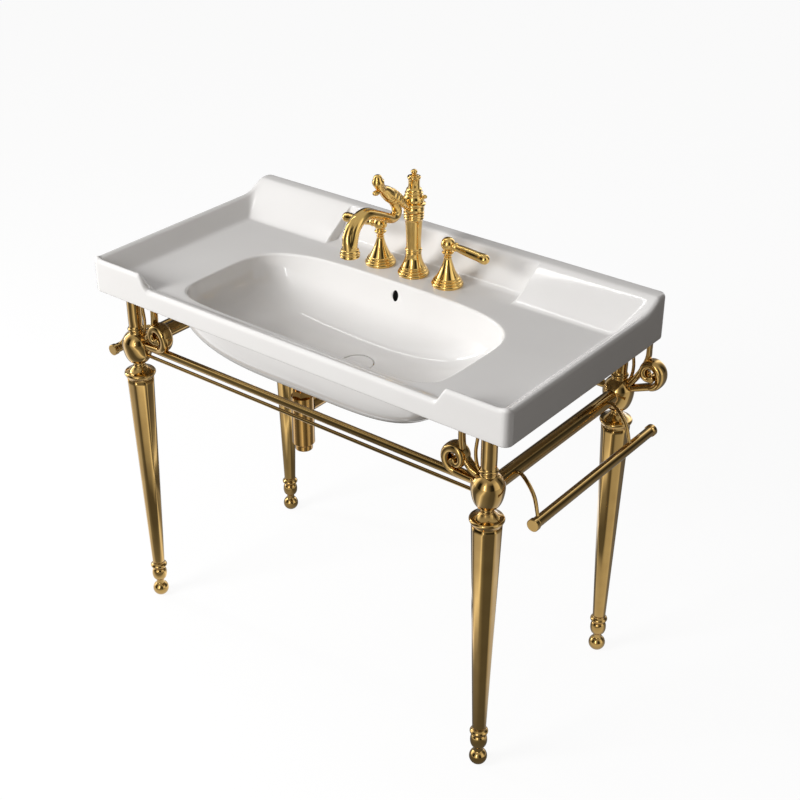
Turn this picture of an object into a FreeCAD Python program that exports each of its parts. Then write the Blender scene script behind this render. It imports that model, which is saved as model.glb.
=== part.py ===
import FreeCAD, Part
import math
import os
import re

import Sketcher

# Console sink with legs: a glazed basin with a rectangular bowl, a three-hole basin mixer, a polished
# metal stand with four faceted legs, rails, scroll brackets and two towel bars, and its waste and trap.
# Origin: on the floor, at the centre of the footprint. X to the right, Y to the wall, Z up. Millimetres.

SIZES = {
    # basin
    "basin_width": 1000, "basin_depth": 524, "apron_base": 749, "rim_height": 820,
    "back_height": 843, "ledge_height": 784, "lip_height": 790, "apron_wall": 14,
    "ledge_wall": 16, "corner_round": 16, "rim_crest": 9, "side_run": 38, "front_run": 16,
    "lip_half": 358, "lip_run": 14, "upstand_top": 36, "upstand_run": 58, "upstand_sweep": 110,
    "wedge_run": 83, "wedge_inner": 232,
    # bowl
    "bowl_half": 312, "front_deck": 36, "bowl_back": 80, "bowl_deep": 127, "bowl_wall": 14,
    "bowl_front_power": 7, "bowl_back_power": 3.6, "bowl_side_swell": 0.75,
    "bowl_front_swell": 0.45, "bowl_back_swell": 0.95,
    "overflow_depth": 31, "overflow_radius": 7, "overflow_rise": 5,
    # waste
    "drain_setback": 43, "drain_floor": 36, "drain_bore": 23, "recess_radius": 33.5,
    "recess_deep": 9, "boss_radius": 44, "boss_height": 14, "flange_radius": 33,
    "flange_height": 3, "cover_radius": 31.5, "cover_height": 5, "cover_round": 1.5,
    "waste_radius": 22, "waste_bore": 19, "waste_length": 60, "spider_height": 8,
    "spider_width": 6, "spider_level": 44, "spider_hub": 8, "stem_radius": 4, "stem_length": 56,
    "seal_radius": 33, "seal_height": 3, "waste_nut_radius": 34, "waste_nut_height": 12,
    "pipe_radius": 16, "pipe_bore": 14, "pipe_bend": 24, "offset_level": 560,
    "trap_x": 187, "trap_y": 0, "trap_radius": 24, "trap_bottom": 371, "trap_top": 500,
    "trap_wall": 2.5, "trap_foot": 19, "trap_foot_height": 12,
    "trap_outlet_level": 470, "trap_nut_radius": 21, "trap_nut_height": 16,
    "wall_flange_radius": 32, "wall_flange_height": 10, "dip_end": 400,
    # mixer
    "tap_wall_gap": 126, "tap_spacing": 84, "tap_hole": 17, "shank_radius": 13,
    "shank_length": 92, "shank_bore": 8, "washer_radius": 25, "washer_height": 3,
    "deck_nut_radius": 23, "deck_nut_height": 10, "valve_radius": 14, "valve_length": 100,
    "tail_radius": 8, "tail_length": 60, "link_radius": 7, "link_bore": 5, "link_level": 706,
    "base_radius": 32, "bell_radius": 22, "bell_top_radius": 15, "shaft_radius": 13.6,
    "shaft_top_radius": 17, "collar_radius": 22, "neck_radius": 15, "bulb_radius": 23,
    "drum_radius": 12, "drum_cap_radius": 13.5, "finial_radius": 6.2,
    "base_step": 5.5, "bell_height": 48, "ring_level": 50, "ring_height": 6,
    "shaft_height": 116, "collar_height": 18, "swivel_height": 20, "bulb_height": 28,
    "drum_height": 20, "drum_cap_height": 4, "finial_height": 14,
    "swivel_band": 6, "running_gap": 0.3,
    "spout_reach": 196, "spout_rise": 174, "outlet_drop": 116, "outlet_radius": 20,
    "outlet_height": 20, "outlet_bore": 10, "outlet_seat": 15.6, "outlet_bore_deep": 24, "outlet_trim": 4,
    "head_radius": 10.5, "head_reach": 110, "head_rise": 231,
    "bead_radius": 5, "bead_reach": 121, "bead_rise": 207, "knob_radius": 3.5,
    "handle_base_radius": 32, "handle_cone_radius": 19, "handle_neck_radius": 7,
    "handle_neck_height": 60, "hub_ball_radius": 14, "hub_ball_rise": 86,
    "lever_reach": 98, "lever_start_radius": 7.5, "lever_droop": 9, "lever_end_radius": 11.5,
    "spindle_radius": 5, "spindle_length": 84, "spindle_gap": 0.1,
    # stand
    "leg_inset_side": 64, "leg_inset_front": 43, "foot_ball_radius": 17.5, "foot_flat": 1,
    "foot_neck_radius": 9, "foot_bead_radius": 16.5, "foot_ring_radius": 18,
    "foot_height": 88, "foot_ring_height": 10, "foot_bead_height": 20, "foot_neck_height": 9,
    "leg_top": 556, "leg_top_radius": 28.5, "leg_base_radius": 13.3, "facet_apothem": 27.16,
    "spigot_radius": 7, "spigot_length": 20, "spigot_fit": 0.05,
    "collar_top": 585, "leg_collar_radius": 31.5, "leg_collar_rim": 6, "leg_collar_neck": 13,
    "leg_collar_swell": 11, "hub_radius": 31, "hub_base_radius": 13, "hub_top_radius": 15.5,
    "hub_level": 632, "hub_top": 663, "hub_base": 591, "post_radius": 14.6,
    "pad_radius": 20, "pad_height": 3, "post_seat": 14, "post_base_radius": 17.5,
    "post_base_height": 6, "post_flare": 7,
    "rail_radius": 8, "rail_level": 634, "rod_radius": 3.6, "rod_level": 613,
    "side_rail_radius": 15, "side_rail_level": 628, "socket_fit": 0.05, "socket_floor": 18,
    # scroll brackets
    "scroll_reach": 66, "scroll_rise_front": 36, "scroll_rise_back": 58,
    "scroll_stretch": 1.12, "scroll_radius": 25, "scroll_inner": 8,
    "scroll_turns": 1.15, "scroll_thick": 7, "scroll_wide": 14, "scroll_eye": 8,
    "strap_reach": 58, "strap_thick": 4, "strap_wide": 8, "brace_radius": 3,
    "brace_reach": 24,
    # towel bars
    "bar_outset": 25, "bar_level": 584, "bar_radius": 10, "bar_cap_radius": 11.8,
    "bar_front_gap": 50, "bar_back_gap": 62,
    "bar_cap_length": 9, "bar_cap_round": 3, "arm_radius": 3.6, "arm_slant": 44,
    "arm_front_gap": 112, "arm_back_gap": 102, "arm_rise": 6,
    # wall fixing
    "fixing_spacing": 280, "fixing_radius": 6, "fixing_level": 758.5,
}

# Places that follow the basin's outline.
FOLLOWING = {
    "bowl_front": "(basin_depth / 2 - front_deck)",
    "tap_setback": "(basin_depth / 2 - tap_wall_gap)",
    "leg_half_span": "(basin_width / 2 - leg_inset_side)",
    "leg_half_depth": "(basin_depth / 2 - leg_inset_front)",
    "bar_offset": "(basin_width / 2 + bar_outset)",
    "bar_front": "(basin_depth / 2 - bar_front_gap)",
    "bar_back": "(basin_depth / 2 - bar_back_gap)",
    "arm_front": "(basin_depth / 2 - arm_front_gap)",
    "arm_back": "(basin_depth / 2 - arm_back_gap)",
}

DOC = FreeCAD.newDocument("console_sink")
SHEET = DOC.addObject("Spreadsheet::Sheet", "Sizes")
NODES = []
WORD = re.compile(r"[a-z][a-z_]*")
VECTOR = FreeCAD.Vector
X_AXIS = VECTOR(1, 0, 0)
Y_AXIS = VECTOR(0, 1, 0)
Z_AXIS = VECTOR(0, 0, 1)
UPRIGHT = FreeCAD.Rotation()
ALONG_X = FreeCAD.Rotation(Y_AXIS, 90)
ALONG_Y = FreeCAD.Rotation(X_AXIS, -90)
SIDES = (("left", -1), ("right", 1))
CORNERS = (("front_left", -1, -1), ("front_right", 1, -1), ("back_left", -1, 1), ("back_right", 1, 1))


def fill_sheet():
    """Write every size into the sheet under its own name."""
    for row, (alias, size) in enumerate(SIZES.items(), start=1):
        SHEET.set(f"A{row}", alias)
        SHEET.set(f"B{row}", str(size))
        SHEET.setAlias(f"B{row}", alias)
    DOC.recompute()


def written_out(formula):
    """The formula with each following place written out in sizes."""
    return WORD.sub(lambda match: FOLLOWING.get(match.group(0), match.group(0)), str(formula))


def linked(formula):
    """The formula with each size's name pointing at the sheet."""
    def point(match):
        word = match.group(0)
        return f"Sizes.{word}" if word in SIZES else word
    return WORD.sub(point, written_out(formula))


def value(formula):
    """The number that a formula of sizes gives."""
    return float(SHEET.evalExpression(written_out(formula)))


def bind(item, **formulas):
    """Tie properties of a document object to formulas of sizes."""
    for name, formula in formulas.items():
        item.setExpression(name, linked(formula))
    return item


def put(item, at, turn=UPRIGHT):
    """Place an object at three formulas, turned by a rotation."""
    item.Placement = FreeCAD.Placement(VECTOR(*[value(part) for part in at]), turn)
    for axis, formula in zip("xyz", at):
        item.setExpression(f"Placement.Base.{axis}", linked(formula))
    return item


def keep(item, label):
    """Name an object as one finished piece."""
    item.Label = label
    NODES.append(item)
    return item


# ---------------------------------------------------------------- outlines and solids

def arc_middle(start, end, radius, bulge):
    """The middle of the short arc between two points; bulge is 1 to the left of the way, -1 to the right."""
    chord = end - start
    half = chord.Length / 2
    sagitta = radius - math.sqrt(max(radius * radius - half * half, 0))
    left = VECTOR(-chord.y, chord.x, 0).normalize()
    return (start + end) * 0.5 + left * (sagitta * bulge)


def outline(body, name, role, points):
    """A closed sketch. A point is two formulas, and two more (radius, bulge) if an arc leads to it."""
    plane = [item for item in body.Origin.OriginFeatures if item.Role == role][0]
    sketch = body.newObject("Sketcher::SketchObject", name)
    sketch.AttachmentSupport = [(plane, "")]
    sketch.MapMode = "FlatFace"
    places = [VECTOR(value(point[0]), value(point[1]), 0) for point in points]
    count = len(points)
    ends = []
    for index in range(count):
        start = places[index]
        end = places[(index + 1) % count]
        target = points[(index + 1) % count]
        clockwise = len(target) > 2 and target[3] > 0
        ends.append((2, 1) if clockwise else (1, 2))
        if len(target) > 2:
            middle = arc_middle(start, end, value(target[2]), target[3])
            sketch.addGeometry(Part.Arc(start, middle, end))
        else:
            sketch.addGeometry(Part.LineSegment(start, end))
    for index in range(count):
        follower = (index + 1) % count
        sketch.addConstraint(
            Sketcher.Constraint("Coincident", index, ends[index][1], follower, ends[follower][0]))
    for index, point in enumerate(points):
        for kind, formula, number in (("DistanceX", point[0], places[index].x),
                                      ("DistanceY", point[1], places[index].y)):
            limit = sketch.addConstraint(Sketcher.Constraint(kind, -1, 1, index, ends[index][0], number))
            sketch.setExpression(f"Constraints[{limit}]", linked(formula))
        target = points[(index + 1) % count]
        if len(target) > 2:
            limit = sketch.addConstraint(Sketcher.Constraint("Radius", index, value(target[2])))
            sketch.setExpression(f"Constraints[{limit}]", linked(target[2]))
    return sketch


def turned(name, points):
    """A body turned round Z from an outline of (radius, height) points."""
    body = DOC.addObject("PartDesign::Body", name)
    sketch = outline(body, f"{name}_outline", "XZ_Plane", points)
    feature = body.newObject("PartDesign::Revolution", f"{name}_turn")
    feature.Profile = sketch
    feature.ReferenceAxis = (sketch, ["V_Axis"])
    feature.Angle = 360
    return body


def prism(name, role, points, length):
    """A body pushed out of an outline. It runs to -Y from XZ_Plane, +X from YZ_Plane, +Z from XY_Plane."""
    body = DOC.addObject("PartDesign::Body", name)
    sketch = outline(body, f"{name}_outline", role, points)
    feature = body.newObject("PartDesign::Pad", f"{name}_pad")
    feature.Profile = sketch
    feature.setExpression("Length", linked(length))
    return body


def cylinder(name, radius, length, at, turn=UPRIGHT):
    """A round bar from one end, along Z or turned."""
    solid = DOC.addObject("Part::Cylinder", name)
    bind(solid, Radius=radius, Height=length)
    return put(solid, at, turn)


def box(name, size, at):
    """A block from its lowest corner."""
    solid = DOC.addObject("Part::Box", name)
    bind(solid, Length=size[0], Width=size[1], Height=size[2])
    return put(solid, at)


def joined(name, *items):
    """Several objects as one solid."""
    result = DOC.addObject("Part::MultiFuse", name)
    result.Shapes = list(items)
    result.Refine = True
    return result


def grouped(name, *items):
    """Several separate solids in one piece."""
    result = DOC.addObject("Part::Compound", name)
    result.Links = list(items)
    return result


def cut(name, base, *tools):
    """The base with the tools taken out of it."""
    for index, tool in enumerate(tools):
        last = index == len(tools) - 1
        result = DOC.addObject("Part::Cut", name if last else f"{name}_step_{index}")
        result.Base = base
        result.Tool = tool
        result.Refine = last
        base = result
    return base


def common(name, first, second):
    """What two objects share."""
    result = DOC.addObject("Part::Common", name)
    result.Base = first
    result.Tool = second
    return result


def freeform(name, shape):
    """A solid shaped by a formula."""
    item = DOC.addObject("Part::Feature", name)
    item.Shape = shape
    return item


def hexagon(radius):
    """Corner points of a hexagon, as formulas, for an outline on the XY plane."""
    corners = []
    for step in range(6):
        angle = math.radians(60 * step)
        corners.append((f"({radius}) * {math.cos(angle):.6f}", f"({radius}) * {math.sin(angle):.6f}"))
    return corners


def ring_solid(name, outer, inner, height, at):
    """A flat ring."""
    return put(turned(name, [(inner, "0"), (outer, "0"), (outer, height), (inner, height)]), at)


def nut(name, radius, inner, height, at):
    """A hexagonal nut."""
    blank = put(prism(f"{name}_blank", "XY_Plane", hexagon(radius), height), at)
    bore = cylinder(f"{name}_bore", inner, height, at)
    return cut(name, blank, bore)


def smooth_path(points, samples):
    """Places and directions along a smooth curve through the points."""
    curve = Part.BSplineCurve()
    curve.interpolate(points)
    first, last = curve.FirstParameter, curve.LastParameter
    places = []
    for step in range(samples + 1):
        parameter = first + (last - first) * step / samples
        places.append((curve.value(parameter), VECTOR(*curve.tangent(parameter)[0]).normalize()))
    return places


def section(place, direction, across, deep, wide):
    """An oval wire square to the direction: wide along the across vector, deep the other way."""
    side = (across - direction * across.dot(direction)).normalize()
    other = direction.cross(side).normalize()
    turn = FreeCAD.Rotation(side, other, direction, "ZXY")
    if abs(deep - wide) < 1e-6:
        edge = Part.Circle(VECTOR(0, 0, 0), Z_AXIS, deep).toShape()
    else:
        major, minor = max(deep, wide), min(deep, wide)
        edge = Part.Ellipse(VECTOR(0, 0, 0), major, minor).toShape()
        if deep > wide:
            turn = turn.multiply(FreeCAD.Rotation(Z_AXIS, 90))
    wire = Part.Wire([edge])
    wire.Placement = FreeCAD.Placement(place, turn)
    return wire


def blended(values, share):
    """A value between listed ones, share running from 0 to 1 along the list."""
    spot = share * (len(values) - 1)
    low = min(int(spot), len(values) - 2)
    return values[low] + (values[low + 1] - values[low]) * (spot - low)


def tapered(places, across, deeps, wides):
    """A solid whose oval sections follow the places."""
    last = len(places) - 1
    wires = []
    for index, (place, direction) in enumerate(places):
        share = index / last
        wires.append(section(place, direction, across, blended(deeps, share), blended(wides, share)))
    return Part.makeLoft(wires, True, False)


# ---------------------------------------------------------------- basin

def bowl_ring(swing, grow, level):
    """One closed ring of the bowl: swing runs from 0 at the ledge to 90 degrees at the floor."""
    reach = math.cos(math.radians(swing))
    floor = value("drain_floor")
    drain = -value("drain_setback")
    side = floor + (value("bowl_half") - floor) * reach ** value("bowl_side_swell") + grow
    front = drain - floor - (value("bowl_front") + drain - floor) * reach ** value("bowl_front_swell") - grow
    back = drain + floor + (value("bowl_back") - drain - floor) * reach ** value("bowl_back_swell") + grow
    middle = drain + (value("bowl_back") - value("bowl_front") - 2 * drain) / 2 * reach
    share = reach ** 0.5
    points = []
    for step in range(48):
        angle = 2 * math.pi * (step + 0.5) / 48
        cosine, sine = math.cos(angle), math.sin(angle)
        rear = sine > 0
        power = 2 + ((value("bowl_back_power") if rear else value("bowl_front_power")) - 2) * share
        along = math.copysign(abs(cosine) ** (2 / power), cosine)
        depth = abs(sine) ** (2 / power) * ((back - middle) if rear else (front - middle))
        points.append(VECTOR(side * along, middle + depth, level))
    curve = Part.BSplineCurve()
    curve.interpolate(points, PeriodicFlag=True)
    return Part.Wire([curve.toShape()])


def bowl_solid(grow, drop):
    """The bowl's inside, or its outside when it is grown and dropped by the wall."""
    top = value("ledge_height") - drop
    deep = value("bowl_deep")
    wires = []
    for swing in (0, 12, 26, 40, 54, 67, 79, 90):
        level = top - deep * math.sin(math.radians(swing))
        wires.append(bowl_ring(swing, grow, level))
    return Part.makeLoft(wires, True, False)


def bowl_mouth(grow):
    """The straight stretch above the bowl's edge."""
    ring = bowl_ring(0, grow, value("ledge_height"))
    return Part.Face(ring).extrude(VECTOR(0, 0, value("rim_height - ledge_height")))


def rounded_block(name, low, high):
    """A block over the whole basin with round upright corners."""
    half_w, half_d, turn = "basin_width / 2", "basin_depth / 2", "corner_round"
    points = [
        (f"-{half_w} + {turn}", f"-{half_d}"),
        (f"{half_w} - {turn}", f"-{half_d}"),
        (f"{half_w}", f"-{half_d} + {turn}", turn, -1),
        (f"{half_w}", f"{half_d} - {turn}"),
        (f"{half_w} - {turn}", f"{half_d}", turn, -1),
        (f"-{half_w} + {turn}", f"{half_d}"),
        (f"-{half_w}", f"{half_d} - {turn}", turn, -1),
        (f"-{half_w}", f"-{half_d} + {turn}"),
    ]
    points[0] = points[0] + (turn, -1)
    return put(prism(name, "XY_Plane", points, f"{high} - {low}"), ("0", "0", low))


def tray_cutter():
    """The tray above the ledge, with sloping inner faces at the sides and the front."""
    tool = DOC.addObject("Part::Wedge", "tray_cutter")
    crest = "basin_width / 2 - rim_crest"
    front = "basin_depth / 2 - rim_crest"
    back = "-(basin_depth / 2 - upstand_top)"
    bind(tool, Xmin=f"-({crest} - side_run)", Xmax=f"{crest} - side_run", X2min=f"-({crest})", X2max=crest,
         Zmin=back, Zmax=f"{front} - front_run", Z2min=back, Z2max=front,
         Ymin="ledge_height", Ymax="rim_height")
    tool.Placement = FreeCAD.Placement(VECTOR(0, 0, 0), FreeCAD.Rotation(X_AXIS, 90))
    return tool


def upstand():
    """The low wall along the back: swept up from the deck in the middle, sloping blocks at both ends."""
    back, top = "basin_depth / 2", "back_height"
    crest = f"{back} - upstand_top"
    middle = prism("upstand_middle", "YZ_Plane", [
        (f"{crest} - upstand_run", "ledge_height", "upstand_sweep", 1),
        (back, "ledge_height"),
        (back, top),
        (crest, top),
    ], "basin_width")
    put(middle, ("-basin_width / 2", "0", "0"))
    wedges = []
    for side, sign in SIDES:
        length = "basin_width / 2 - wedge_inner"
        start = "wedge_inner" if sign > 0 else "-basin_width / 2"
        wedge = prism(f"upstand_block_{side}", "YZ_Plane", [
            (f"{crest} - wedge_run", "ledge_height"),
            (back, "ledge_height"),
            (back, top),
            (crest, top),
        ], length)
        wedges.append(put(wedge, (start, "0", "0")))
    return [middle] + wedges


def front_notch():
    """What is taken off the front rim between its two high corners."""
    points = [
        ("-lip_half", "lip_height"),
        ("lip_half", "lip_height"),
        ("lip_half + lip_run", "rim_height"),
        ("-lip_half - lip_run", "rim_height"),
    ]
    tool = prism("front_notch", "XZ_Plane", points, "rim_crest + front_run + apron_wall")
    return put(tool, ("0", "-basin_depth / 2 + rim_crest + front_run", "0"))


def make_basin():
    """The glazed basin with its bowl, deck, holes and open underside."""
    slab = box("basin_slab", ("basin_width", "basin_depth", "rim_height - apron_base"),
               ("-basin_width / 2", "-basin_depth / 2", "apron_base"))
    tray = cut("basin_tray", slab, tray_cutter(), front_notch())
    hollow = box("basin_hollow",
                 ("basin_width - 2 * apron_wall", "basin_depth - 2 * apron_wall",
                  "ledge_height - ledge_wall - apron_base"),
                 ("-basin_width / 2 + apron_wall", "-basin_depth / 2 + apron_wall", "apron_base"))
    open_tray = cut("basin_open_tray", tray, hollow)
    body = joined("basin_body", open_tray, *upstand())
    rounded = common("basin_rounded", body, rounded_block("basin_bounds", "apron_base", "back_height"))
    outside = freeform("bowl_outside", bowl_solid(value("bowl_wall"), value("ledge_wall")))
    floor = "ledge_height - bowl_deep"
    drain_y = "-drain_setback"
    boss = cylinder("drain_boss", "boss_radius", "boss_height",
                    ("0", drain_y, f"{floor} - ledge_wall - 4"))
    shell = joined("basin_shell", rounded, outside, boss)
    inside = freeform("bowl_inside", bowl_solid(0, 0))
    mouth = freeform("bowl_mouth", bowl_mouth(0))
    tools = [inside, mouth]
    tools.append(cylinder("drain_hole", "drain_bore", "ledge_height - apron_base + bowl_deep",
                          ("0", drain_y, f"{floor} - ledge_wall - boss_height")))
    tools.append(cylinder("drain_recess", "recess_radius", "bowl_deep",
                          ("0", drain_y, f"{floor} - recess_deep")))
    for name, place in (("middle", "0"), ("left", "-tap_spacing"), ("right", "tap_spacing")):
        tools.append(cylinder(f"tap_hole_{name}", "tap_hole", "2 * ledge_wall",
                              (place, "tap_setback", "ledge_height - 1.5 * ledge_wall")))
    overflow = f"ledge_height - overflow_depth"
    for name, rise in (("low", "-overflow_rise / 2"), ("high", "overflow_rise / 2")):
        tools.append(cylinder(f"overflow_{name}", "overflow_radius", "tap_setback - bowl_back / 2 - tap_hole",
                              ("0", "bowl_back / 2", f"{overflow} + {rise}"), ALONG_Y))
    for side, sign in SIDES:
        tools.append(cylinder(f"fixing_hole_{side}", "fixing_radius", "2 * apron_wall",
                              (f"{sign} * fixing_spacing / 2", "basin_depth / 2 - 1.5 * apron_wall",
                               "fixing_level"), ALONG_Y))
    keep(cut("basin", shell, *tools), "basin")


# ---------------------------------------------------------------- waste and trap

def make_waste():
    """The pop-up waste in the bowl's floor, with its flush cover."""
    floor = "ledge_height - bowl_deep"
    seat = f"{floor} - recess_deep"
    drain_y = "-drain_setback"
    tube = turned("waste_tube", [
        ("waste_bore", "flange_height - waste_length"),
        ("waste_radius", "flange_height - waste_length"),
        ("waste_radius", "0"),
        ("flange_radius", "0"),
        ("flange_radius", "flange_height"),
        ("waste_bore", "flange_height"),
    ])
    put(tube, ("0", drain_y, seat))
    bars = []
    for name, turn in (("across", ("2 * waste_bore + 1", "spider_width")),
                       ("along", ("spider_width", "2 * waste_bore + 1"))):
        bars.append(box(f"spider_{name}", (turn[0], turn[1], "spider_height"),
                        (f"-({turn[0]}) / 2", f"{drain_y} - ({turn[1]}) / 2", f"{seat} - spider_level")))
    hub = cylinder("spider_hub", "spider_hub", "spider_height", ("0", drain_y, f"{seat} - spider_level"))
    whole = joined("waste_blank", tube, *bars, hub)
    guide = cylinder("spider_guide", "stem_radius + spindle_gap", "spider_height",
                     ("0", drain_y, f"{seat} - spider_level"))
    keep(cut("waste_body", whole, guide), "waste_body")

    cover = turned("waste_cover", [
        ("0", "0"),
        ("cover_radius", "0"),
        ("cover_radius", "cover_height - cover_round"),
        ("cover_radius - cover_round", "cover_height", "cover_round", -1),
        ("0", "cover_height"),
    ])
    keep(put(cover, ("0", drain_y, f"{floor} - cover_height")), "waste_cover")
    stem = turned("waste_stem", [
        ("0", "-stem_length"),
        ("stem_radius", "-stem_length"),
        ("stem_radius", "-spider_hub"),
        ("waste_bore - spider_height", "0"),
        ("0", "0"),
    ])
    keep(put(stem, ("0", drain_y, f"{floor} - cover_height")), "waste_stem")

    under = f"{floor} - ledge_wall - 4"
    seal = ring_solid("waste_seal", "seal_radius", "waste_radius", "seal_height",
                      ("0", drain_y, f"{under} - seal_height"))
    keep(seal, "waste_seal")
    keep(nut("waste_nut", "waste_nut_radius", "waste_radius", "waste_nut_height",
             ("0", drain_y, f"{under} - seal_height - waste_nut_height")), "waste_nut")


def bent_pipe(points, bend, radius):
    """A round solid along straight runs joined by arcs of the bend radius."""
    edges = []
    start = points[0]
    for index in range(1, len(points) - 1):
        corner = points[index]
        before = (corner - points[index - 1]).normalize()
        after = (points[index + 1] - corner).normalize()
        turn = before.getAngle(after)
        back = bend * math.tan(turn / 2)
        first, last = corner - before * back, corner + after * back
        toward = (after - before).normalize()
        middle = corner + toward * (bend / math.cos(turn / 2) - bend)
        edges.append(Part.LineSegment(start, first).toShape())
        edges.append(Part.Arc(first, middle, last).toShape())
        start = last
    edges.append(Part.LineSegment(start, points[-1]).toShape())
    spine = Part.Wire(edges)
    direction = (points[1] - points[0]).normalize()
    profile = Part.Wire([Part.Circle(points[0], direction, radius).toShape()])
    return spine.makePipeShell([profile], True, False)


def make_trap():
    """The offset pipe, the bottle trap beside the bowl and the outlet to the wall."""
    drain = VECTOR(0, -value("drain_setback"), 0)
    trap = VECTOR(-value("trap_x"), value("trap_y"), 0)
    level = VECTOR(0, 0, value("offset_level"))
    tail = value("ledge_height - bowl_deep - recess_deep + flange_height - waste_length")
    route = [
        drain + Z_AXIS * tail,
        drain + level,
        trap + level,
        trap + Z_AXIS * value("dip_end"),
    ]
    whole = bent_pipe(route, value("pipe_bend"), value("pipe_radius"))
    hollow = bent_pipe(route, value("pipe_bend"), value("pipe_bore"))
    keep(freeform("offset_pipe", whole.cut(hollow)), "offset_pipe")

    body = turned("trap_shell", [
        ("0", "trap_bottom"),
        ("trap_foot - trap_wall", "trap_bottom"),
        ("trap_foot", "trap_bottom + trap_wall", "trap_wall", -1),
        ("trap_foot", "trap_bottom + trap_foot_height"),
        ("trap_radius", "trap_bottom + trap_foot_height + trap_radius - trap_foot"),
        ("trap_radius", "trap_top"),
        ("pipe_radius", "trap_top"),
        ("pipe_radius", "trap_top - trap_wall"),
        ("trap_radius - trap_wall", "trap_top - trap_wall"),
        ("trap_radius - trap_wall", "trap_bottom + trap_foot_height + trap_radius - trap_foot"),
        ("trap_foot - trap_wall", "trap_bottom + trap_foot_height"),
        ("trap_foot - trap_wall", "trap_bottom + trap_wall"),
        ("0", "trap_bottom + trap_wall"),
    ])
    put(body, ("-trap_x", "trap_y", "0"))
    port = cylinder("trap_port", "pipe_radius", "2 * trap_radius", ("-trap_x", "trap_y", "trap_outlet_level"),
                    ALONG_Y)
    keep(cut("trap_body", body, port), "trap_body")

    start = "trap_y + trap_radius - trap_wall"
    length = f"basin_depth / 2 - ({start})"
    outlet = cylinder("outlet_blank", "pipe_radius", length, ("-trap_x", start, "trap_outlet_level"), ALONG_Y)
    bore = cylinder("outlet_bore", "pipe_bore", length, ("-trap_x", start, "trap_outlet_level"), ALONG_Y)
    keep(cut("trap_outlet_pipe", outlet, bore), "trap_outlet_pipe")

    flange = turned("wall_flange", [
        ("pipe_radius", "0"),
        ("pipe_radius", "wall_flange_height"),
        ("pipe_radius + 3", "wall_flange_height"),
        ("wall_flange_radius", "3", "wall_flange_radius", 1),
        ("wall_flange_radius", "0"),
    ])
    put(flange, ("-trap_x", "basin_depth / 2", "trap_outlet_level"), FreeCAD.Rotation(X_AXIS, 90))
    keep(flange, "wall_flange")

    waste_end = "ledge_height - bowl_deep - recess_deep + flange_height - waste_length"
    low = f"{waste_end} - trap_nut_height / 2"
    blank = nut("slip_nut_drain_blank", "trap_nut_radius + 7", "pipe_radius", "1.5 * trap_nut_height",
                ("0", "-drain_setback", low))
    mouth = cylinder("slip_nut_drain_mouth", "waste_radius", "trap_nut_height",
                     ("0", "-drain_setback", waste_end))
    upper = cut("slip_nut_drain", blank, mouth)
    lower = nut("slip_nut_trap", "trap_nut_radius", "pipe_radius", "trap_nut_height",
                ("-trap_x", "trap_y", "trap_top"))
    keep(grouped("slip_nuts", upper, lower), "slip_nuts")


# ---------------------------------------------------------------- mixer

def stepped_foot(radius, steps):
    """Outline points of the stacked rings at the foot of a tap, from the deck up."""
    points = [("0", "0"), (radius, "0")]
    for step in range(steps):
        low = f"{step} * base_step"
        edge = f"{radius} - {step} * base_step / 2"
        points.append((edge, f"{low} + base_step * 0.55"))
        points.append((f"{edge} - base_step / 2", f"{low} + base_step", "base_step / 2", 1))
    return points


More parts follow.
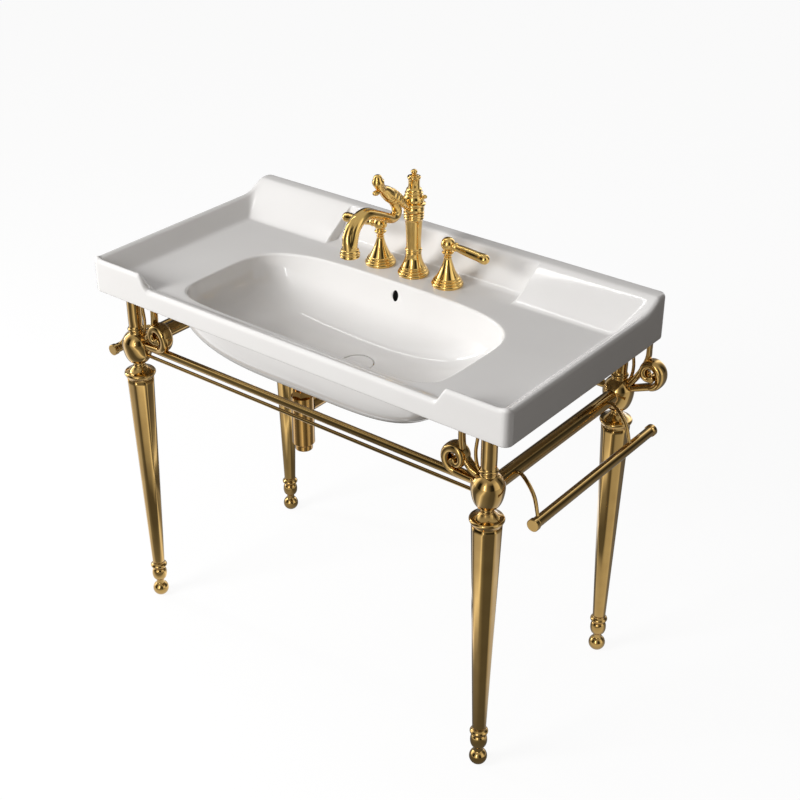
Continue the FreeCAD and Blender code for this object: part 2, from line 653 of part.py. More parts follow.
def make_spout_column():
    """The column of the spout: base, shaft with rings, cap and finial."""
    deck = "ledge_height"
    axis = ("0", "tap_setback", deck)
    base = turned("spout_base", stepped_foot("base_radius", 3) + [
        ("bell_radius", "3 * base_step + 1"),
        ("bell_top_radius", "bell_height", "1.6 * bell_height", 1),
        ("0", "bell_height"),
    ])
    keep(put(base, axis), "spout_base")
    shaft = turned("spout_column", [
        ("0", "bell_height"),
        ("bell_top_radius", "bell_height"),
        ("bell_top_radius", "ring_level"),
        ("bell_top_radius + 1.5", "ring_level + 1"),
        ("bell_top_radius + 1.5", "ring_level + ring_height - 1"),
        ("shaft_radius", "ring_level + ring_height + 1"),
        ("shaft_top_radius", "shaft_height", "5 * shaft_height", 1),
        ("collar_radius", "shaft_height + 2"),
        ("collar_radius", "shaft_height + collar_height / 2 - 2"),
        ("collar_radius - 2.5", "shaft_height + collar_height / 2"),
        ("collar_radius - 0.5", "shaft_height + collar_height / 2 + 2"),
        ("collar_radius - 0.5", "shaft_height + collar_height - 1"),
        ("collar_radius - 1.5", "shaft_height + collar_height"),
        ("neck_radius", "shaft_height + collar_height"),
        ("neck_radius", "shaft_height + collar_height + swivel_height"),
        ("0", "shaft_height + collar_height + swivel_height"),
    ])
    keep(put(shaft, axis), "spout_column")
    start = "shaft_height + collar_height + swivel_height"
    cap = turned("cap_turned", [
        ("0", start),
        ("bulb_radius - 2", start),
        ("bulb_radius - 3", f"{start} + bulb_height * 0.7", "bulb_height * 0.75", -1),
        ("bulb_radius - 6", f"{start} + bulb_height * 0.74"),
        ("drum_radius + 2", f"{start} + bulb_height", "bulb_height * 0.4", -1),
        ("drum_radius", f"{start} + bulb_height + 2"),
        ("drum_radius", f"{start} + bulb_height + drum_height"),
        ("drum_cap_radius", f"{start} + bulb_height + drum_height + 1"),
        ("drum_cap_radius", f"{start} + bulb_height + drum_height + drum_cap_height"),
        ("0", f"{start} + bulb_height + drum_height + drum_cap_height"),
    ])
    knob = freeform("cap_knob", side_knob())
    keep(joined("column_cap", put(cap, axis), knob), "column_cap")
    seat = f"{start} + bulb_height + drum_height + drum_cap_height"
    finial = turned("column_finial", [
        ("0", seat),
        ("drum_cap_radius - 1", seat),
        ("finial_radius - 2.5", f"{seat} + finial_height - 2 * finial_radius + 1.5", "finial_height", 1),
        ("finial_radius", f"{seat} + finial_height - finial_radius", "finial_radius * 1.1", -1),
        ("0", f"{seat} + finial_height", "finial_radius", -1),
    ])
    keep(put(finial, axis), "column_finial")


def side_knob():
    """The small knob at the side of the column's cap."""
    centre = VECTOR(0, value("tap_setback"), value("ledge_height"))
    start = centre + Z_AXIS * value("shaft_height + collar_height + swivel_height + bulb_height * 0.35")
    tip = start + X_AXIS * value("bulb_radius + 5") + Z_AXIS * 4
    stem = Part.makeCylinder(value("knob_radius * 0.6"), start.distanceToPoint(tip), start, tip - start)
    ball = Part.makeSphere(value("knob_radius"), tip)
    return stem.fuse(ball)


def spout_point(reach, rise):
    """A point of the spout's upright plane: reach to the front of the column, rise above the deck."""
    return VECTOR(0, value("tap_setback") - reach, value("ledge_height") + rise)


def make_spout():
    """The swivelling spout: a band round the column, a swan-necked tube and its curled ornament."""
    reach, rise, drop = value("spout_reach"), value("spout_rise"), value("outlet_drop")
    band_level = value("shaft_height + collar_height + running_gap")
    band_radius = value("neck_radius + running_gap + swivel_band")
    middle = band_level + value("swivel_height") / 2
    bend, low = reach * 0.275, rise - 33
    route = [
        spout_point(bend + 18, low + 43),
        spout_point(bend + 10, low + 31),
        spout_point(bend + 3, low + 21),
        spout_point(bend, low + 9),
        spout_point(bend + 6, low + 1),
        spout_point(bend + 19, low),
        spout_point(bend + 37, low + 9),
        spout_point(reach * 0.62, rise - 9),
        spout_point(reach * 0.745, rise),
        spout_point(reach * 0.86, rise - 4),
        spout_point(reach * 0.94, rise - 15),
        spout_point(reach * 0.985, rise - 30),
        spout_point(reach, drop + 12),
        spout_point(reach, drop),
    ]
    sizes = [8, 8.5, 9, 9, 9, 9, 9, 9.5, 10, 10.5, 11.5, 13, 14.5, 15]
    tube = tapered(smooth_path(route, 30), X_AXIS, sizes, sizes)
    band = Part.makeCylinder(band_radius, value("swivel_height - 2 * running_gap"),
                             spout_point(0, band_level))
    bore = Part.makeCylinder(value("neck_radius + running_gap"), value("swivel_height + 2"),
                             spout_point(0, band_level - 1))
    head_reach, head_rise, head = value("head_reach"), value("head_rise"), value("head_radius")
    curl = [
        spout_point(band_radius - 4, middle + 3),
        spout_point(band_radius + 9, middle + 13),
        spout_point(band_radius + 24, middle + 25),
        spout_point(head_reach - 50, head_rise - 52),
        spout_point(head_reach - 36, head_rise - 42),
        spout_point(head_reach - 22, head_rise - 31),
        spout_point(head_reach - 13, head_rise - 21),
        spout_point(head_reach - 6, head_rise - 11),
        spout_point(head_reach, head_rise),
        spout_point(head_reach + 2, head_rise + head),
    ]
    sizes = [6, 6.5, 8.5, 11.5, 13, 11, 7.5, head * 0.85, head, 4]
    ornament = tapered(smooth_path(curl, 18), X_AXIS, sizes, sizes)
    tip = Part.makeSphere(head * 0.8, spout_point(head_reach + 1, head_rise + head * 0.35))
    bead_at = spout_point(value("bead_reach"), value("bead_rise"))
    stalk_from = spout_point(head_reach - 12, head_rise - 26)
    stalk = Part.makeCylinder(2.4, stalk_from.distanceToPoint(bead_at), stalk_from, bead_at - stalk_from)
    bead = Part.makeSphere(value("bead_radius"), bead_at)
    clearance = Part.makeCylinder(value("bulb_radius + 2"), value("bulb_height + drum_height"),
                                  spout_point(0, value("shaft_height + collar_height + swivel_height")))
    water_way = Part.makeCylinder(value("outlet_bore"), value("outlet_bore_deep"),
                                  spout_point(reach, drop - 1))
    square_end = Part.makeCylinder(value("outlet_radius"), value("outlet_trim"),
                                   spout_point(reach, drop - value("outlet_trim")))
    whole = tube.multiFuse([band, ornament, tip, stalk, bead])
    for tool in (bore, clearance, water_way, square_end):
        whole = whole.cut(tool)
    keep(freeform("spout_arm", whole), "spout_arm")
    outlet = turned("spout_outlet", [
        ("outlet_radius - 10", "0"),
        ("outlet_radius - 2", "0"),
        ("outlet_radius", "3", "3", -1),
        ("outlet_radius - 2", "7", "4", -1),
        ("outlet_radius - 1", "10", "3", -1),
        ("outlet_radius - 3", "14", "4", -1),
        ("outlet_radius - 3", "outlet_height - 2"),
        ("outlet_seat", "outlet_height - 2"),
        ("outlet_seat", "outlet_height - 8"),
        ("outlet_radius - 10", "outlet_height - 8"),
    ])
    keep(put(outlet, ("0", "tap_setback - spout_reach", "ledge_height + outlet_drop - outlet_height + 8")),
         "spout_outlet")


def make_handles():
    """The two valve covers and lever handles beside the spout."""
    for side, sign in SIDES:
        axis = (f"{sign} * tap_spacing", "tap_setback", "ledge_height")
        foot = stepped_foot("handle_base_radius", 3)
        foot[0] = ("spindle_radius + spindle_gap", "0")
        cover = turned(f"handle_base_{side}", foot + [
            ("handle_cone_radius", "3 * base_step + 1"),
            ("handle_neck_radius", "handle_neck_height", "4 * handle_neck_height", 1),
            ("spindle_radius + spindle_gap", "handle_neck_height"),
        ])
        keep(put(cover, axis), f"handle_base_{side}")

        ball = "hub_ball_rise"
        hub = turned(f"lever_hub_{side}", [
            ("0", "handle_neck_height - spindle_length"),
            ("spindle_radius", "handle_neck_height - spindle_length"),
            ("spindle_radius", "handle_neck_height + running_gap"),
            ("handle_neck_radius", "handle_neck_height + running_gap"),
            ("handle_neck_radius + 4", "handle_neck_height + 7"),
            ("handle_neck_radius + 4.5", "handle_neck_height + 10", "3", -1),
            ("handle_neck_radius + 1", f"{ball} - hub_ball_radius * 0.8"),
            ("hub_ball_radius", ball, "hub_ball_radius", -1),
            ("0", f"{ball} + hub_ball_radius", "hub_ball_radius", -1),
        ])
        put(hub, axis)
        end = "lever_reach - lever_end_radius"
        arm = turned(f"lever_arm_{side}", [
            ("0", "hub_ball_radius * 0.4"),
            ("lever_start_radius", "hub_ball_radius * 0.4"),
            ("lever_start_radius * 0.9", "lever_reach * 0.25"),
            ("lever_start_radius * 1.2", "lever_reach * 0.7"),
            ("lever_end_radius * 0.8", "lever_reach - lever_end_radius * 1.6"),
            ("lever_end_radius", end, "lever_end_radius", -1),
            ("0", "lever_reach", "lever_end_radius", -1),
        ])
        lean = FreeCAD.Rotation(Z_AXIS, VECTOR(sign * value(end), 0, -value("lever_droop")))
        put(arm, (axis[0], axis[1], f"ledge_height + {ball}"), lean)
        keep(joined(f"lever_whole_{side}", hub, arm), f"lever_{side}")


def make_underdeck():
    """What holds and feeds the taps below the deck."""
    under = "ledge_height - ledge_wall"
    shank = turned("shank_turned", [
        ("shank_bore", "-shank_length"),
        ("shank_radius", "-shank_length"),
        ("shank_radius", "0"),
        ("shank_bore", "0"),
    ])
    put(shank, ("0", "tap_setback", "ledge_height"))
    port = cylinder("shank_port", "link_radius", "2 * shank_radius",
                    ("-shank_radius", "tap_setback", "link_level"),
                    ALONG_X)
    keep(cut("spout_shank", shank, port), "spout_shank")
    washers, nuts, links, valves = [], [], [], []
    places = [("middle", "0", "shank_radius")]
    for side, sign in SIDES:
        x = f"{sign} * tap_spacing"
        places.append((side, x, "valve_radius"))
        valve = turned(f"valve_blank_{side}", [
            ("0", "-valve_length - tail_length"),
            ("tail_radius", "-valve_length - tail_length"),
            ("tail_radius", "-valve_length"),
            ("valve_radius", "-valve_length"),
            ("valve_radius", "0"),
            ("spindle_radius + spindle_gap", "0"),
            ("spindle_radius + spindle_gap", "handle_neck_height - spindle_length - running_gap"),
            ("0", "handle_neck_height - spindle_length - running_gap"),
        ])
        put(valve, (x, "tap_setback", "ledge_height"))
        start = f"{x} - {sign} * valve_radius"
        seat = cylinder(f"valve_port_{side}", "link_radius", "valve_radius / 2",
                        (start if sign < 0 else f"{start}", "tap_setback", "link_level"),
                        ALONG_X if sign > 0 else FreeCAD.Rotation(Y_AXIS, -90))
        valves.append(cut(f"valve_body_{side}", valve, seat))
        end = f"tap_spacing - valve_radius / 2"
        low = "shank_bore + 1" if sign > 0 else f"-({end})"
        pipe = cylinder(f"link_blank_{side}", "link_radius", f"{end} - shank_bore - 1",
                        (low, "tap_setback", "link_level"), ALONG_X)
        bore = cylinder(f"link_bore_{side}", "link_bore", f"{end} - shank_bore - 1",
                        (low, "tap_setback", "link_level"), ALONG_X)
        links.append(cut(f"link_{side}", pipe, bore))
    for name, x, radius in places:
        washers.append(ring_solid(f"deck_washer_{name}", "washer_radius", radius, "washer_height",
                                  (x, "tap_setback", f"{under} - washer_height")))
        nuts.append(nut(f"deck_nut_{name}", "deck_nut_radius", radius, "deck_nut_height",
                        (x, "tap_setback", f"{under} - washer_height - deck_nut_height")))
    keep(grouped("valve_bodies", *valves), "valve_bodies")
    keep(grouped("deck_washers", *washers), "deck_washers")
    keep(grouped("deck_nuts", *nuts), "deck_nuts")
    keep(grouped("crossover_pipes", *links), "crossover_pipes")


# ---------------------------------------------------------------- stand

def make_foot(name, at):
    """The turned foot: ball, neck, bead and ring, with a spigot for the leg."""
    ball, flat = "foot_ball_radius", "foot_flat"
    neck_level = f"2 * {ball} - {flat} + foot_neck_height / 2 - 3"
    bead_top = "foot_height - foot_ring_height"
    bead_base = f"{bead_top} - foot_bead_height"
    foot = turned(name, [
        ("0", "0"),
        (f"sqrt(pow({ball}; 2) - pow({ball} - {flat}; 2))", "0"),
        (ball, f"{ball} - {flat}", ball, -1),
        ("foot_neck_radius", f"{ball} - {flat} + sqrt(pow({ball}; 2) - pow(foot_neck_radius; 2))", ball, -1),
        ("foot_neck_radius", bead_base),
        ("foot_bead_radius", f"{bead_base} + foot_bead_height / 2", "foot_bead_height * 0.55", -1),
        ("foot_bead_radius - 3", bead_top, "foot_bead_height * 0.55", -1),
        ("foot_ring_radius - 1", f"{bead_top} + 0.5"),
        ("foot_ring_radius - 1", "foot_height - 1.5", "foot_ring_height * 0.48", -1),
        ("leg_base_radius", "foot_height"),
        ("spigot_radius", "foot_height"),
        ("spigot_radius", "foot_height + spigot_length"),
        ("0", "foot_height + spigot_length"),
    ])
    keep(put(foot, at), name)


def shallow_arc(reach, crest, low, high, level):
    """An edge round the axis between two angles: its ends at one radius, its middle at another."""
    def spot(radius, angle):
        return VECTOR(radius * math.cos(angle), radius * math.sin(angle), level)
    if math.isclose(crest, reach * math.cos((high - low) / 2)):
        return Part.LineSegment(spot(reach, low), spot(reach, high)).toShape()
    return Part.Arc(spot(reach, low), spot(crest, (low + high) / 2), spot(reach, high)).toShape()


def leg_wire(reach, crest, half, level):
    """Eight sides, with their middles at the crest, and eight rounded corners between them."""
    edges = []
    for step in range(8):
        middle = step * math.pi / 4
        after = middle + math.pi / 4
        edges.append(shallow_arc(reach, crest, middle - half, middle + half, level))
        edges.append(shallow_arc(reach, reach, middle + half, after - half, level))
    return Part.Wire(edges)


def make_leg(name, at):
    """The tapered leg, round at the foot and with eight flat facets at the top."""
    top_reach, base_reach = value("leg_top_radius"), value("leg_base_radius")
    apothem = value("facet_apothem")
    half = math.acos(apothem / top_reach)
    low_wire = leg_wire(base_reach, base_reach, half, value("foot_height"))
    high_wire = leg_wire(top_reach, top_reach * math.cos(half), half, value("leg_top"))
    blank = put(freeform(f"{name}_blank", Part.makeLoft([low_wire, high_wire], True, True)),
                (at[0], at[1], "0"))
    low = cylinder(f"{name}_low_bore", "spigot_radius + spigot_fit", "spigot_length",
                   (at[0], at[1], "foot_height"))
    high = cylinder(f"{name}_high_bore", "spigot_radius + spigot_fit", "spigot_length",
                    (at[0], at[1], "leg_top - spigot_length"))
    keep(cut(f"{name}_whole", blank, low, high), name)


def make_collar(name, at):
    """The flared disc on top of the leg."""
    bore = "spigot_radius + spigot_fit"
    collar = turned(name, [
        (bore, "leg_top"),
        ("leg_top_radius", "leg_top"),
        ("leg_collar_radius", "leg_top + leg_collar_swell", "leg_collar_swell * 1.4", -1),
        ("leg_collar_radius", "leg_top + leg_collar_swell + leg_collar_rim", "leg_collar_rim", -1),
        ("leg_collar_neck - 1", "collar_top - 3", "4 * leg_collar_radius", 1),
        ("leg_collar_neck - 1", "collar_top"),
        (bore, "collar_top"),
    ])
    keep(put(collar, at), name)


def egg_radius(run, rise):
    """Radius of the arc that starts upright and moves in by run over a height of rise."""
    return f"(pow({run}; 2) + pow({rise}; 2)) / (2 * ({run}))"


def make_hub(name, at, x_sign, y_sign):
    """The egg-shaped hub that holds the rails, with a spigot through the collar into the leg."""
    lower = egg_radius("hub_radius - hub_base_radius", "hub_level - hub_base")
    upper = egg_radius("hub_radius - hub_top_radius", "hub_top - hub_level")
    blank = turned(f"{name}_blank", [
        ("0", "leg_top - spigot_length"),
        ("spigot_radius", "leg_top - spigot_length"),
        ("spigot_radius", "collar_top"),
        ("hub_base_radius - 1", "collar_top"),
        ("hub_base_radius", "hub_base", "6", 1),
        ("hub_radius", "hub_level", lower, -1),
        ("hub_top_radius", "hub_top", upper, -1),
        ("spigot_radius + spigot_fit", "hub_top"),
        ("spigot_radius + spigot_fit", "hub_top - post_seat"),
        ("0", "hub_top - post_seat"),
    ])
    put(blank, at)
    inward_x = ALONG_X if x_sign < 0 else FreeCAD.Rotation(Y_AXIS, -90)
    inward_y = ALONG_Y if y_sign < 0 else FreeCAD.Rotation(X_AXIS, 90)
    length = "hub_radius"
    near_x = f"{at[0]} - {x_sign} * socket_floor"
    near_y = f"{at[1]} - {y_sign} * socket_floor"
    tools = [cylinder(f"{name}_rail_socket", "rail_radius + socket_fit", length,
                      (near_x, at[1], "rail_level"), inward_x),
             cylinder(f"{name}_side_socket", "side_rail_radius + socket_fit", length,
                      (at[0], near_y, "side_rail_level"), inward_y)]
    if y_sign < 0:
        tools.append(cylinder(f"{name}_rod_socket", "rod_radius + socket_fit", length,
                              (near_x, at[1], "rod_level"), inward_x))
    keep(cut(f"{name}_whole", blank, *tools), name)


def make_post(name, at):
    """The short post between the hub and the basin."""
    top = "ledge_height - ledge_wall - pad_height"
    post = turned(name, [
        ("0", "hub_top - post_seat"),
        ("spigot_radius", "hub_top - post_seat"),
        ("spigot_radius", "hub_top"),
        ("post_base_radius - 2", "hub_top"),
        ("post_base_radius", "hub_top + post_base_height / 2", "post_base_height * 0.6", -1),
        ("post_base_radius - 1.5", "hub_top + post_base_height", "post_base_height * 0.6", -1),
        ("post_radius", "hub_top + post_base_height + post_flare", "2 * post_flare", 1),
        ("post_radius", top),
        ("0", top),
    ])
    keep(put(post, at), name)


def make_rails():
    """Front rail and rod, back rail and the two thick side rails, each seated in the hubs."""
    start_x = "-leg_half_span + socket_floor"
    length_x = "2 * (leg_half_span - socket_floor)"
    keep(cylinder("front_rail", "rail_radius", length_x, (start_x, "-leg_half_depth", "rail_level"), ALONG_X),
         "front_rail")
    keep(cylinder("front_rod", "rod_radius", length_x, (start_x, "-leg_half_depth", "rod_level"), ALONG_X),
         "front_rod")
    keep(cylinder("back_rail", "rail_radius", length_x, (start_x, "leg_half_depth", "rail_level"), ALONG_X),
         "back_rail")
    for side, sign in SIDES:
        keep(cylinder(f"side_rail_{side}", "side_rail_radius", "2 * (leg_half_depth - socket_floor)",
                      (f"{sign} * leg_half_span", "-leg_half_depth + socket_floor", "side_rail_level"),
                      ALONG_Y),
             f"side_rail_{side}")


def make_towel_bars():
    """A towel bar at each side on two slender curved arms."""
    for side, sign in SIDES:
        bar = turned(f"towel_bar_{side}", [
            ("0", "-bar_front"),
            ("bar_cap_radius - bar_cap_round", "-bar_front"),
            ("bar_cap_radius", "-bar_front + bar_cap_round", "bar_cap_round", -1),
            ("bar_radius", "-bar_front + bar_cap_length"),
            ("bar_radius", "bar_back - bar_cap_length"),
            ("bar_cap_radius", "bar_back - bar_cap_round"),
            ("bar_cap_radius - bar_cap_round", "bar_back", "bar_cap_round", -1),
            ("0", "bar_back"),
        ])
        keep(put(bar, (f"{sign} * bar_offset", "0", "bar_level"), ALONG_Y), f"towel_bar_{side}")
        rail = Part.makeCylinder(value("side_rail_radius"), value("basin_depth"),
                                 VECTOR(sign * value("leg_half_span"), -value("basin_depth") / 2,
                                        value("side_rail_level")), Y_AXIS)
        DOC.recompute()
        arms = []
        for end, place in (("front", -value("arm_front")), ("back", value("arm_back"))):
            root = VECTOR(sign * value("leg_half_span"), place, value("side_rail_level + arm_rise"))
            tip = VECTOR(sign * value("bar_offset"), place - value("arm_slant"), value("bar_level"))
            span = tip - root
            route = [
                root,
                VECTOR(root.x + span.x * 0.35, root.y + span.y * 0.2, root.z + 3),
                VECTOR(root.x + span.x * 0.75, root.y + span.y * 0.6, root.z + span.z * 0.3),
                tip,
            ]
            radius = value("arm_radius")
            arm = tapered(smooth_path(route, 10), Y_AXIS, [radius, radius], [radius, radius])
            arms.append(freeform(f"towel_arm_{end}_{side}", arm.cut(rail).cut(bar.Shape)))
        keep(grouped(f"towel_arms_{side}", *arms), f"towel_arms_{side}")


def scroll_solid(rise):
    """The curled horn beside a hub, running to +X, with its eye the given height above the hub's middle."""
    hub = VECTOR(0, 0, value("hub_level"))
    eye = hub + X_AXIS * value("scroll_reach") + Z_AXIS * rise
    outer, inner, turns = value("scroll_radius"), value("scroll_inner"), value("scroll_turns")
    stretch = value("scroll_stretch")
    start = rise - outer * stretch
    route = [hub + X_AXIS * 12 + Z_AXIS * (start / 2 + 4), hub + X_AXIS * 34 + Z_AXIS * (start / 2 + 2)]
    steps = 14
    for step in range(steps + 1):
        share = step / steps
        angle = -math.pi * 0.62 + share * turns * 2 * math.pi
        radius = outer + (inner - outer) * share ** 0.9
        route.append(eye + X_AXIS * (radius * math.cos(angle))
                     + Z_AXIS * (radius * stretch * math.sin(angle)))
    thick, wide = value("scroll_thick"), value("scroll_wide")
    horn = tapered(smooth_path(route, 34), Y_AXIS,
                   [thick * 0.8, thick * 0.9, thick, thick, thick * 0.85, thick * 0.6],
                   [wide * 0.6, wide * 0.8, wide, wide, wide * 0.9, wide * 0.8])
    half = wide * 0.9
    drum = Part.makeCylinder(value("scroll_eye"), 2 * half, route[-1] - Y_AXIS * half, Y_AXIS)
    return horn.fuse(drum)


def bracket_links(rise, strap_top, brace_top):
    """The strap from the basin through the scroll to the hub, and the slender brace beside the post."""
    hub = VECTOR(0, 0, value("hub_level"))
    reach = value("strap_reach")
    strap_route = [
        hub + X_AXIS * 14 + Z_AXIS * 12,
        hub + X_AXIS * (reach * 0.6) + Z_AXIS * (rise * 0.5 + 8),
        hub + X_AXIS * (reach * 0.85) + Z_AXIS * (rise + 6),
        hub + X_AXIS * reach + Z_AXIS * (rise + 34),
        VECTOR(reach, 0, strap_top - 12),
        VECTOR(reach, 0, strap_top),
    ]
    thick, wide = value("strap_thick"), value("strap_wide")
    strap = tapered(smooth_path(strap_route, 12), Y_AXIS,
                    [thick * 1.8, thick * 1.6, thick * 1.2, thick, thick],
                    [wide * 1.3, wide * 1.3, wide, wide, wide])
    brace_route = [
        hub + X_AXIS * 8 + Z_AXIS * 12,
        hub + X_AXIS * value("brace_reach") + Z_AXIS * 32,
        hub + X_AXIS * (value("brace_reach") + 4) + Z_AXIS * 60,
        VECTOR(value("brace_reach"), 0, brace_top - 40),
        VECTOR(value("brace_reach") - 2, 0, brace_top),
    ]
    radius = value("brace_radius")
    brace = tapered(smooth_path(brace_route, 10), Y_AXIS, [radius, radius], [radius, radius])
    return [strap, brace]


def make_bracket(name, x_sign, y_sign, neighbours):
    """A scroll bracket: inward from a front hub, outward from a back one."""
    ceiling = value("ledge_height - ledge_wall")
    strap_top = ceiling if y_sign < 0 else value("apron_base")
    rise = value("scroll_rise_front" if y_sign < 0 else "scroll_rise_back")
    shape = scroll_solid(rise).multiFuse(bracket_links(rise, strap_top + 10, ceiling + 10))
    long, tall = value("basin_depth"), value("rim_height - apron_base")
    head = Part.makeBox(long, long, tall, VECTOR(-long / 2, -long / 2, ceiling))
    low_head = Part.makeBox(long, long, tall, VECTOR(value("strap_reach") - 20, -long / 2, strap_top))
    shape = shape.cut(head).cut(low_head)
    outward = x_sign if y_sign > 0 else -x_sign
    turn = UPRIGHT if outward > 0 else FreeCAD.Rotation(Z_AXIS, 180)
    at = VECTOR(x_sign * value("leg_half_span"), y_sign * value("leg_half_depth"), 0)
    shape.Placement = FreeCAD.Placement(at, turn)
    for item in neighbours:
        shape = shape.cut(item.Shape)
    keep(freeform(name, shape), name)


def make_stand():
    """Four legs with their feet, collars, hubs, posts, pads and brackets, and the rails."""
    pads = []
    neighbours = {}
    for corner, x_sign, y_sign in CORNERS:
        at = (f"{x_sign} * leg_half_span", f"{y_sign} * leg_half_depth", "0")
        make_foot(f"foot_{corner}", at)
        make_leg(f"leg_{corner}", at)
        make_collar(f"collar_{corner}", at)
        make_hub(f"hub_{corner}", at, x_sign, y_sign)
        make_post(f"post_{corner}", at)
        pads.append(cylinder(f"pad_{corner}", "pad_radius", "pad_height",
                             (at[0], at[1], "ledge_height - ledge_wall - pad_height")))
        neighbours[corner] = NODES[-2:] + pads[-1:]
    keep(grouped("post_pads", *pads), "post_pads")
    make_rails()
    make_towel_bars()
    DOC.recompute()
    for corner, x_sign, y_sign in CORNERS:
        rails = [item for item in NODES if item.Label in ("front_rail", "front_rod", "back_rail")]
        make_bracket(f"scroll_bracket_{corner}", x_sign, y_sign, neighbours[corner] + rails)


# ---------------------------------------------------------------- output

def check(items):
    """Stop if any object of the document failed or any piece is not a sound solid."""
    failed = [item.Name for item in DOC.Objects if "Invalid" in item.State or "Error" in item.State]
    for item in items:
        if item.Shape.isNull() or not item.Shape.isValid() or not item.Shape.Solids:
            failed.append(item.Label)
    if failed:
        raise RuntimeError(f"not sound: {failed}")


def write(items):
    """Write each piece to its own file."""
    os.makedirs("parts", exist_ok=True)
    for item in items:
        item.Shape.exportStep(f"parts/{item.Label}.step")
        count = len(item.Shape.Solids)
        print(f"{item.Label}: {count} solid(s), {item.Shape.Volume / 1000:.1f} cm3")


fill_sheet()
make_basin()
make_waste()
make_trap()
make_spout_column()
make_spout()
make_handles()
make_underdeck()
make_stand()
DOC.recompute()
check(NODES)
write(NODES)
print(f"{len(NODES)} pieces")
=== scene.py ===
import logging
import math
from dataclasses import dataclass
from enum import Enum
from typing import Callable, Dict, List, Optional, Sequence, Tuple

import bmesh
import bpy
import numpy as np
from mathutils import Euler, Matrix, Vector


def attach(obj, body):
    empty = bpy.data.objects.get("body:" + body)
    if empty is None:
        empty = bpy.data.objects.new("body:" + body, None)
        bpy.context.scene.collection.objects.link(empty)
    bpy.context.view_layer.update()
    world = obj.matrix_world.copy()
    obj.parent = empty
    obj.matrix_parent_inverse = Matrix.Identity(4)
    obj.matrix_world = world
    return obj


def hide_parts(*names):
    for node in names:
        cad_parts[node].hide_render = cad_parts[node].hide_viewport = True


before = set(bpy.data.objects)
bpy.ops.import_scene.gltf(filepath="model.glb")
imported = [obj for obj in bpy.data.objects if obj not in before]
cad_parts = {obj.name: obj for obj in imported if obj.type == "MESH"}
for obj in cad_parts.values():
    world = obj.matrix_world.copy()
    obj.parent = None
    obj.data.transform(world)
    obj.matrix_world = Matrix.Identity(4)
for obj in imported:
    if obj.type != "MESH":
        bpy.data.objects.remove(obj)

LOG = logging.getLogger("console_sink")
MM = 0.001
Array = np.ndarray
Corner = Tuple[float, float, float]
Patch = Tuple[Array, List[Array]]
UP = np.array((0.0, 0.0, 1.0))
RIGHT = np.array((1.0, 0.0, 0.0))
BACK = np.array((0.0, 1.0, 0.0))
DOME_RINGS = 6          # rings in each domed end of a swept piece
BIGGEST_EASE = 0.42     # share of a profile's shorter leg that a corner's easing may take
EASE_LEAD = 0.15        # how far before an eased corner the smooth shading starts, as a share of its easing
SECTORS = (             # share of a turn round the object, and the brightness that metal mirrors there
    (0.0, 0.35), (0.03, 1.3), (0.055, 2.6), (0.075, 1.4), (0.09, 1.3), (0.11, 0.3), (0.16, 0.02),
    (0.20, 0.03), (0.22, 0.5), (0.27, 1.4), (0.29, 2.6), (0.31, 1.2), (0.33, 0.4), (0.40, 0.05),
    (0.45, 0.02), (0.48, 0.9), (0.56, 1.3), (0.58, 0.3), (0.65, 0.02), (0.70, 0.35), (0.74, 1.5),
    (0.765, 2.6), (0.78, 1.3), (0.80, 0.4), (0.86, 0.03), (0.91, 0.05), (0.94, 0.6), (1.0, 0.35))


class Body(Enum):
    """The moving bodies of the frame that a piece can ride on."""

    STAND = "stand"
    SPOUT = "spout"
    LEFT_LEVER = "left_lever"
    RIGHT_LEVER = "right_lever"
    POP_UP = "pop_up"


class Slot(Enum):
    """The record's material slots, noted with each new piece but not used in building it; the hidden fittings
    keep their own.
    """

    GLAZE = "glaze"
    TAP = "tap_gold"
    FRAME = "frame_gold"


# ---------------------------------------------------------------- surfaces

def wrapped_quads(rows: int, cols: int) -> Array:
    """Quads between neighbouring rows of a grid whose columns close into a ring.

    Args:
        rows: Number of rings.
        cols: Points in each ring.

    Returns:
        An (n, 4) array of point numbers, turned outwards for rings that climb along their axis.
    """
    row, col = np.meshgrid(np.arange(rows - 1), np.arange(cols), indexing="ij")
    after = (col + 1) % cols
    low, high = row * cols, (row + 1) * cols
    return np.stack([low + col, low + after, high + after, high + col], axis=-1).reshape(-1, 4)


def pole_fan(pole: int, ring: Array, above: bool) -> Array:
    """Triangles from one pole point to a ring.

    Args:
        pole: Number of the pole point.
        ring: Point numbers of the ring.
        above: Whether the pole lies beyond the ring's upper side.

    Returns:
        An (n, 3) array of point numbers.
    """
    after = np.roll(ring, -1)
    centre = np.full_like(ring, pole)
    order = [ring, after, centre] if above else [after, ring, centre]
    return np.stack(order, axis=1)


def closed_rings(rings: Array, start: Array, end: Array) -> Patch:
    """A closed skin over rings, with a pole point at each end.

    Args:
        rings: Array of shape (rows, cols, 3).
        start: The pole point before the first ring.
        end: The pole point after the last ring.

    Returns:
        The points and the face arrays.
    """
    rows, cols = rings.shape[:2]
    points = np.vstack([rings.reshape(-1, 3), start[None], end[None]])
    first = np.arange(cols)
    last = first + (rows - 1) * cols
    faces = [wrapped_quads(rows, cols),
             pole_fan(rows * cols, first, False),
             pole_fan(rows * cols + 1, last, True)]
    return points, faces


